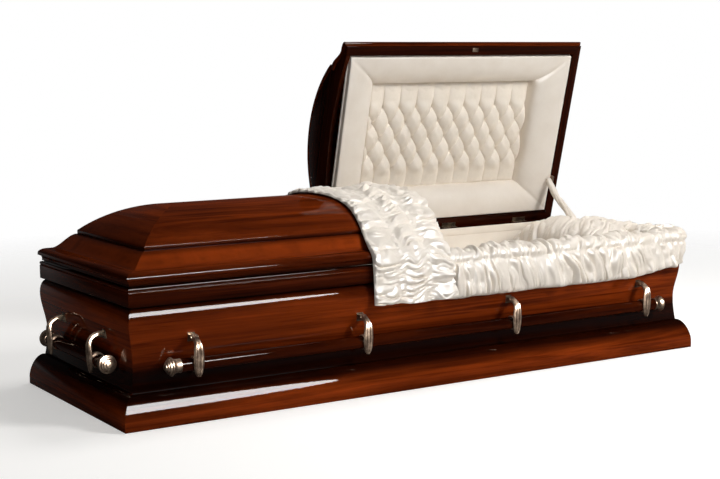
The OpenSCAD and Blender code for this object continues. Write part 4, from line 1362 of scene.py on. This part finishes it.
def tuft_height(x, y):
    """Height of the puffs over the board at a place on the panel, in metres."""
    row = (y - FIRST_ROW) / ROW_PITCH
    column = (x - FIRST_COLUMN) / COLUMN_PITCH
    inside = np.clip(row, 0, LAST_ROW)
    to_a, to_b = to_whole(column + inside / 2), to_whole(column - inside / 2)
    near = np.minimum(to_a, to_b) * 2
    puff = (near * (2 - near)) ** 0.62
    saddle = np.sqrt(np.clip(np.maximum(to_a, to_b) * 2, 0, 1))
    height = 0.0130 * puff + 0.0140 * saddle
    # Outside the last rows the pleats run straight to the edge
    beyond = np.abs(row - inside)
    straight = to_whole(column + np.rint(inside) / 2) * 2
    strip = 0.0145 * (straight * (2 - straight)) ** 0.6 * soft(1.2 - beyond * 0.6) + 0.004
    mix = soft(beyond / 0.5)
    height = height * (1 - mix) + np.maximum(strip, height * 0.5) * mix
    # Each tuft draws in a small round dimple; every other row is shifted by half a pitch
    rows = np.clip(np.rint(row), 0, LAST_ROW)
    shift = np.where(rows % 2 == 0, 0.0, 0.5)
    near_column = np.rint(column - shift) + shift
    away = np.hypot((column - near_column) * COLUMN_PITCH, (row - rows) * ROW_PITCH)
    return height - 0.0060 * bell(away, 0.0080)

# %% Tufted panel
PANEL_IN_X, PANEL_IN_Y, BOARD_UP = 0.1300, 0.1085, 0.0720


def make_tufts():
    x0, x1 = CAP_X0 + PANEL_IN_X, CAP_X1 - PANEL_IN_X
    y0, y1 = -CAP_Y + PANEL_IN_Y, CAP_Y - PANEL_IN_Y
    x = np.linspace(x0, x1, 224)[:, None]
    y = np.linspace(y0, y1, 126)[None, :]
    warp_x = x + 0.0009 * bumps(x / 0.05, y / 0.05, 61)
    warp_y = y + 0.0009 * bumps(x / 0.05, y / 0.05, 62)
    height = tuft_height(warp_x, warp_y)
    height = height + 0.0012 * bumps(x / 0.035, y / 0.035, 63) + 0.0004 * bumps(
        x / 0.008, y / 0.008, 64)
    to_edge = np.minimum(np.minimum(x - x0, x1 - x), np.minimum(y - y0, y1 - y))
    height = height * soft(to_edge / 0.016 + 0.1)
    points = np.empty((x.size, y.size, 3))
    points[..., 0] = x + 0 * y
    points[..., 1] = y + 0 * x
    points[..., 2] = lid_foot + BOARD_UP - height
    return place(lay_sheet("tufted_panel", points[:, ::-1], 0.006), OPENED)


tufts = make_tufts()
dress(tufts, "head_lid", "lining_cloth", cream, "cap_panel")

# %% [markdown]
# ## Swelling a pad
# A stuffed bag is round because its filling presses on it from inside. We could draw that
# roundness by hand, but a short cloth simulation finds it: the closed mesh is remeshed
# evenly, pressure blows it up for a few frames, and no point may move past a limit.

# %% Pads swollen by a cloth simulation
SWELL_FRAMES = 20


def swell(piece, voxel, pressure, cap):
    """Blows a closed mesh up with Cloth, moving no point further than the cap."""
    pick(piece)
    piece.data.remesh_voxel_size = voxel
    bpy.ops.object.voxel_remesh()
    before = points_of(piece)
    cloth = piece.modifiers.new("Cloth", "CLOTH")
    cloth.settings.quality = 5
    cloth.settings.use_pressure = True
    cloth.settings.uniform_pressure_force = pressure
    cloth.settings.effector_weights.gravity = 0
    cloth.point_cache.frame_start, cloth.point_cache.frame_end = 1, SWELL_FRAMES
    for frame_number in range(1, SWELL_FRAMES + 1):
        bpy.context.scene.frame_set(frame_number)
    pick(piece)
    bpy.ops.object.modifier_apply(modifier=cloth.name)
    bpy.context.scene.frame_set(1)
    moved = points_of(piece) - before
    far = np.linalg.norm(moved, axis=1)[:, None]
    move_points(piece, before + moved * np.minimum(1, cap / np.maximum(far, 1e-9)))
    print(piece.name, "swelled by up to", round(float(far.max()), 4))
    return piece

# %% [markdown]
# ### Pillow
# The pillow is a low cushion that is swollen first. Its ruching, the folds that fan out
# from the end seams, is sewn in on the real one and laid on here afterwards: each point
# moves out along its normal by the height of the folds.

# %% Pillow
FOOT_SIDE_IN = 0.042               # its foot side stays this far inside the CAD box
TOP_SHARE, UNDER_SHARE, SEAM_SHARE = 0.92, 0.36, 0.30
PILLOW_SHARE = 0.97


def shape_cushion(name, size):
    """A low cushion with slightly hollow sides, about the origin."""
    deselect()
    bpy.ops.mesh.primitive_cube_add(size=1, location=(0, 0, 0))
    pillow = named(name)
    edit(pillow)
    bpy.ops.mesh.subdivide(number_cuts=28)
    deselect()
    x, y, z = (points_of(pillow) * 2).T
    round_off = (1 - 0.10 * np.abs(y) ** 4 * np.abs(x)) * (1 - 0.04 * (1 - y * y))
    crown = (1 - np.abs(x) ** 5) ** 0.55 * (1 - np.abs(y) ** 5) ** 0.55
    hollow_x = x * (1 - 0.05 * (1 - np.abs(y) ** 2))
    hollow_y = y * (1 - 0.05 * (1 - np.abs(x) ** 2))
    up = np.where(z > 0, TOP_SHARE, UNDER_SHARE) * size.z
    side = np.maximum(np.abs(x), np.abs(y)) > 0.999
    lift = np.where(side, SEAM_SHARE, SEAM_SHARE + 0.70 * crown)
    move_points(pillow, np.stack([hollow_x * size.x / 2 * PILLOW_SHARE * round_off,
                                  hollow_y * size.y / 2 * PILLOW_SHARE, z * up * lift], 1))
    return pillow


def make_pillow():
    low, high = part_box("pillow")
    low.x += FOOT_SIDE_IN
    middle, size = (low + high) / 2, high - low
    pillow = swell(shape_cushion("head_pillow", size), 0.0065, 4.0, 0.012)
    pick(pillow)
    finer = pillow.modifiers.new("finer", "SUBSURF")
    finer.levels = finer.render_levels = 1
    bpy.ops.object.modifier_apply(modifier=finer.name)
    co = points_of(pillow)
    normals = np.array([vertex.normal for vertex in pillow.data.vertices])
    fan = co[:, 1] - 0.75 * co[:, 0] + 0.012 * bumps(co[:, 0] / 0.06, co[:, 1] / 0.06, 71)
    folds = puffs(fan / 0.019, co[:, 0] / 0.13, 72) * 0.0100 + 0.0035 * puffs(
        fan / 0.010, co[:, 0] / 0.06, 73)
    gathered = puffs(co[:, 1] / 0.0075, co[:, 0] / 0.05, 74) * 0.0028 * bell(
        np.abs(co[:, 0]) - size.x / 2 + 0.012, 0.022)
    co += normals * ((folds + gathered) * (normals[:, 2] > -0.4))[:, None]
    # Flat underneath, set down on the mattress and tipped up towards the head end
    floor_z = -size.z * SEAM_SHARE
    co[:, 2] = np.maximum(co[:, 2], floor_z)
    co[:, 2] += low.z - floor_z + 0.001
    co[:, 0] += middle.x
    co[:, 1] += middle.y
    co[:, 2] += 0.010 * soft((co[:, 2] - low.z) / 0.08) * soft((co[:, 0] - low.x) / 0.12)
    move_points(pillow, co)
    return settle(pillow, 70)


pillow = make_pillow()
dress(pillow, "shell", "bed_cloth", ivory, "pillow")
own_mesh(pillow)

# %% [markdown]
# ### Mattress
# The mattress is a firm pad, hardly seen under the pillow and the cloth. A bevelled box is
# enough, with its top a little uneven and falling off towards its edges.

# %% Mattress
def make_mattress():
    low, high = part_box("mattress")
    deselect()
    bpy.ops.mesh.primitive_cube_add(size=1, location=(low + high) / 2, scale=high - low)
    pad = named("mattress_pad")
    edit(pad)
    bpy.ops.mesh.bevel(offset=0.022, segments=5, affect="EDGES")
    bpy.ops.mesh.select_all(action="SELECT")
    bpy.ops.mesh.subdivide(number_cuts=14)
    settle(pad, 60)
    co = points_of(pad)
    top = soft((co[:, 2] - high.z + 0.03) / 0.03)
    edge = np.minimum(half_long - np.abs(co[:, 0]), 0.29 - np.abs(co[:, 1]))
    co[:, 2] -= top * 0.004 * bell(edge, 0.05)
    co[:, 2] -= top * 0.002 * (1 + bumps(co[:, 0] / 0.12, co[:, 1] / 0.12, 81))
    move_points(pad, co)
    return pad


mattress = make_mattress()
dress(mattress, "shell", "bed_cloth", ivory, "mattress")

# %% [markdown]
# ## The stay in its sleeve
# The lid is held by a flat steel stay inside a sleeve of the lining cloth. The sleeve is
# longer than the stay, so it sits in small crumples along it. It is a sheet too: a grid
# rolled into a tube round the stay, with its long edges joined. Both are modelled along
# -y, and `ALONG_STAY` then lays them on the line of the CAD model's stay.

# %% Sleeve
SLEEVE_LONG, SLEEVE_R = 0.205, 0.0088


def make_sleeve():
    angle = 2 * pi * np.linspace(0, 1, 40)[:, None]
    t = np.linspace(0, SLEEVE_LONG, 150)[None, :]
    crumple = puffs(t / 0.030 + 1.6 * np.sin(angle), 1.6 * np.cos(angle), 91)
    radius = SLEEVE_R + 0.0024 * t / SLEEVE_LONG + 0.0030 * crumple + 0.0005 * bumps(
        t / 0.009, np.cos(angle) * 2, 92)
    radius = radius * (0.86 + 0.14 * soft(t / 0.01) * soft((SLEEVE_LONG - t) / 0.01))
    sway = 0.0012 * bumps(t / 0.05, 0 * angle, 93)
    sag = soft((t - 0.05) / (SLEEVE_LONG - 0.05))
    points = np.empty((angle.size, t.size, 3))
    points[..., 0] = radius * np.cos(angle) + sway + 0.003 * sag
    points[..., 1] = -t + 0.004 + 0 * angle
    points[..., 2] = radius * np.sin(angle) + sway + 0.013 * sag - 0.006 * np.sin(
        pi * t / SLEEVE_LONG)
    points[-1] = points[0]
    sleeve = lay_sheet("stay_sleeve", points, 0)
    edit(sleeve)
    bpy.ops.mesh.remove_doubles(threshold=WELD)
    bpy.ops.mesh.normals_make_consistent(inside=False)
    deselect()
    wall = sleeve.modifiers.new("cloth", "SOLIDIFY")
    wall.thickness, wall.offset = 0.0009, -1
    return settle(sleeve, 60)


stay_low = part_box("lid_stay")[0]
drop, reach = stay_point.z - stay_low.z - 0.005, stay_point.y - stay_low.y - 0.006
ALONG_STAY = Matrix.Translation(stay_point) @ Matrix.Rotation(atan2(drop, reach), 4, "X")
sleeve = place(make_sleeve(), ALONG_STAY)
dress(sleeve, "lid_stay", "lining_cloth", ivory)
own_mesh(sleeve)

# %% [markdown]
# The stay itself is a flat steel bar, hidden in its sleeve apart from its ends.

# %% Stay
deselect()
bpy.ops.mesh.primitive_cube_add(size=1, location=(0, -0.0975, 0), scale=(0.003, 0.209, 0.009))
stay = place(ease_edges(named("stay_rod"), 0.001), ALONG_STAY)
dress(stay, "lid_stay", "antique_brass", brass, "lid_stay")

# %% [markdown]
# ## Studio floor
# A casket is shown on a pale, plain studio floor. A floor that only glows would be easy,
# but the casket would then float without its shadow. So the floor is matt and pale, and
# glows a little where the camera sees it. A few metres out it fades into the white
# world, so that no horizon line shows. Mirrored rays see it much darker.

# %% Floor
FADE_FROM, FADE_TO = 1.6, 4.2
FLOOR_GLOW, MIRRORED_SHARE = 0.46, 0.1


def make_floor():
    deselect()
    bpy.ops.mesh.primitive_plane_add(size=40, location=(0, 0, -0.0005))
    floor = named("floor")
    material = bpy.data.materials.new("pale_floor")
    material.use_nodes = True
    tree = material.node_tree
    tree.nodes.clear()
    where = add(tree, "ShaderNodeTexCoord")
    reach = add(tree, "ShaderNodeVectorMath", {"operation": "LENGTH"},
                i0=where.outputs["Object"])
    away = spread(tree, reach.outputs["Value"], FADE_FROM, FADE_TO)
    rays = add(tree, "ShaderNodeLightPath")
    mirrored = math(tree, "MAXIMUM", rays.outputs["Is Glossy Ray"],
                    rays.outputs["Is Transmission Ray"])
    seen = math(tree, "MAXIMUM", rays.outputs["Is Camera Ray"],
                math(tree, "MULTIPLY", MIRRORED_SHARE, mirrored))
    tone = mix_colour(tree, rays.outputs["Is Glossy Ray"], (0.80, 0.79, 0.775, 1),
                      (0.08, 0.078, 0.076, 1))
    matt = add(tree, "ShaderNodeBsdfDiffuse", None, Color=tone)
    glow = add(tree, "ShaderNodeEmission", None, Color=(1, 0.99, 0.97, 1),
               Strength=math(tree, "MULTIPLY", seen, FLOOR_GLOW))
    lit = add(tree, "ShaderNodeAddShader", None, i0=matt.outputs[0], i1=glow.outputs[0])
    clear = add(tree, "ShaderNodeBsdfTransparent")
    faded = add(tree, "ShaderNodeMixShader", None, i0=away, i1=lit.outputs[0],
                i2=clear.outputs[0])
    add(tree, "ShaderNodeOutputMaterial", None, Surface=faded.outputs[0])
    floor.data.materials.append(material)
    return floor


print("stage", make_floor().name)

# %% [markdown]
# ## World
# Lacquer is a mirror, so what we see in dark wood is the studio. One white world would lie
# over it like a grey veil. Light Path lets us give each kind of ray a world of its own:
# the camera sees plain white, matt surfaces are lit by a soft grey sky that is dimmer
# overhead, and mirrored rays see a dark room with a paler band below the horizon. Both
# are darker towards the foot end, which keeps that end of the casket deep.

# %% World
SKY_LOW, SKY_HIGH = (0.48, 0.472, 0.46, 1), (0.34, 0.336, 0.33, 1)
ROOM, ROOM_LOW = (0.035, 0.035, 0.036, 1), (0.28, 0.28, 0.28, 1)
WHITE = (1, 1, 1, 1)
FOOT_END_LIGHT = 0.06


def make_world():
    world = bpy.data.worlds.new("studio")
    bpy.context.scene.world = world
    world.use_nodes = True
    tree = world.node_tree
    tree.nodes.clear()
    towards = add(tree, "ShaderNodeTexCoord")
    heading = add(tree, "ShaderNodeSeparateXYZ", None, Vector=towards.outputs["Generated"])
    height = spread(tree, heading.outputs["Z"], 0.06, 0.42)
    sky = mix_colour(tree, height, SKY_LOW, SKY_HIGH)
    rays = add(tree, "ShaderNodeLightPath")
    low = math(tree, "SUBTRACT", 1.0, spread(tree, heading.outputs["Z"], 0.0, 0.05))
    room = mix_colour(tree, low, ROOM, ROOM_LOW)
    mirrored = math(tree, "MAXIMUM", rays.outputs["Is Glossy Ray"],
                    rays.outputs["Is Transmission Ray"])
    side = spread(tree, heading.outputs["X"], -0.5, 0.25, FOOT_END_LIGHT, 1.0)
    shown = mix_colour(tree, 1.0, mix_colour(tree, mirrored, sky, room), side, "MULTIPLY")
    shown = mix_colour(tree, rays.outputs["Is Camera Ray"], shown, WHITE)
    glow = add(tree, "ShaderNodeBackground", None, Color=shown, Strength=1.0)
    add(tree, "ShaderNodeOutputWorld", None, Surface=glow.outputs[0])
    return world


print("world", make_world().name)

# %% [markdown]
# ## Lamps
# Large area lamps give the soft shadows of a studio. Two of them, in front on the right
# and overhead, light the cloth and the wood, and mirrored rays don't see them, because
# their squares would show in the lacquer. The third is the other way round. Only mirrored
# rays see it: a long oval in front, whose reflection is the tapering bright line that
# runs along the mouldings.

# %% Lamps
def soft_lamp(name, at, to, size, power, shape="RECTANGLE"):
    data = bpy.data.lights.new(name, "AREA")
    data.shape, data.size, data.size_y = shape, size[0], size[1]
    data.energy = power
    lamp = bpy.data.objects.new(name, data)
    bpy.context.scene.collection.objects.link(lamp)
    look = (Vector(to) - Vector(at)).to_track_quat("-Z", "Y")
    lamp.matrix_world = Matrix.Translation(at) @ look.to_matrix().to_4x4()
    return lamp


key = soft_lamp("key_softbox", (1.8, -2.7, 2.4), (0.1, 0, 0.3), (0.9, 0.9), 88)
top = soft_lamp("overhead_softbox", (0.9, 0.1, 3.0), (0.3, 0, 0.3), (1.2, 1.0), 32)
strip = soft_lamp("strip_softbox", (-1.15, -2.75, 1.60), (-1.15, 0, 0.2), (4.0, 1.15), 1000,
                  "ELLIPSE")
key.visible_glossy = top.visible_glossy = False
strip.visible_diffuse = False
print("lamps", [lamp.name for lamp in (key, top, strip)])

# %% Finish
deselect()
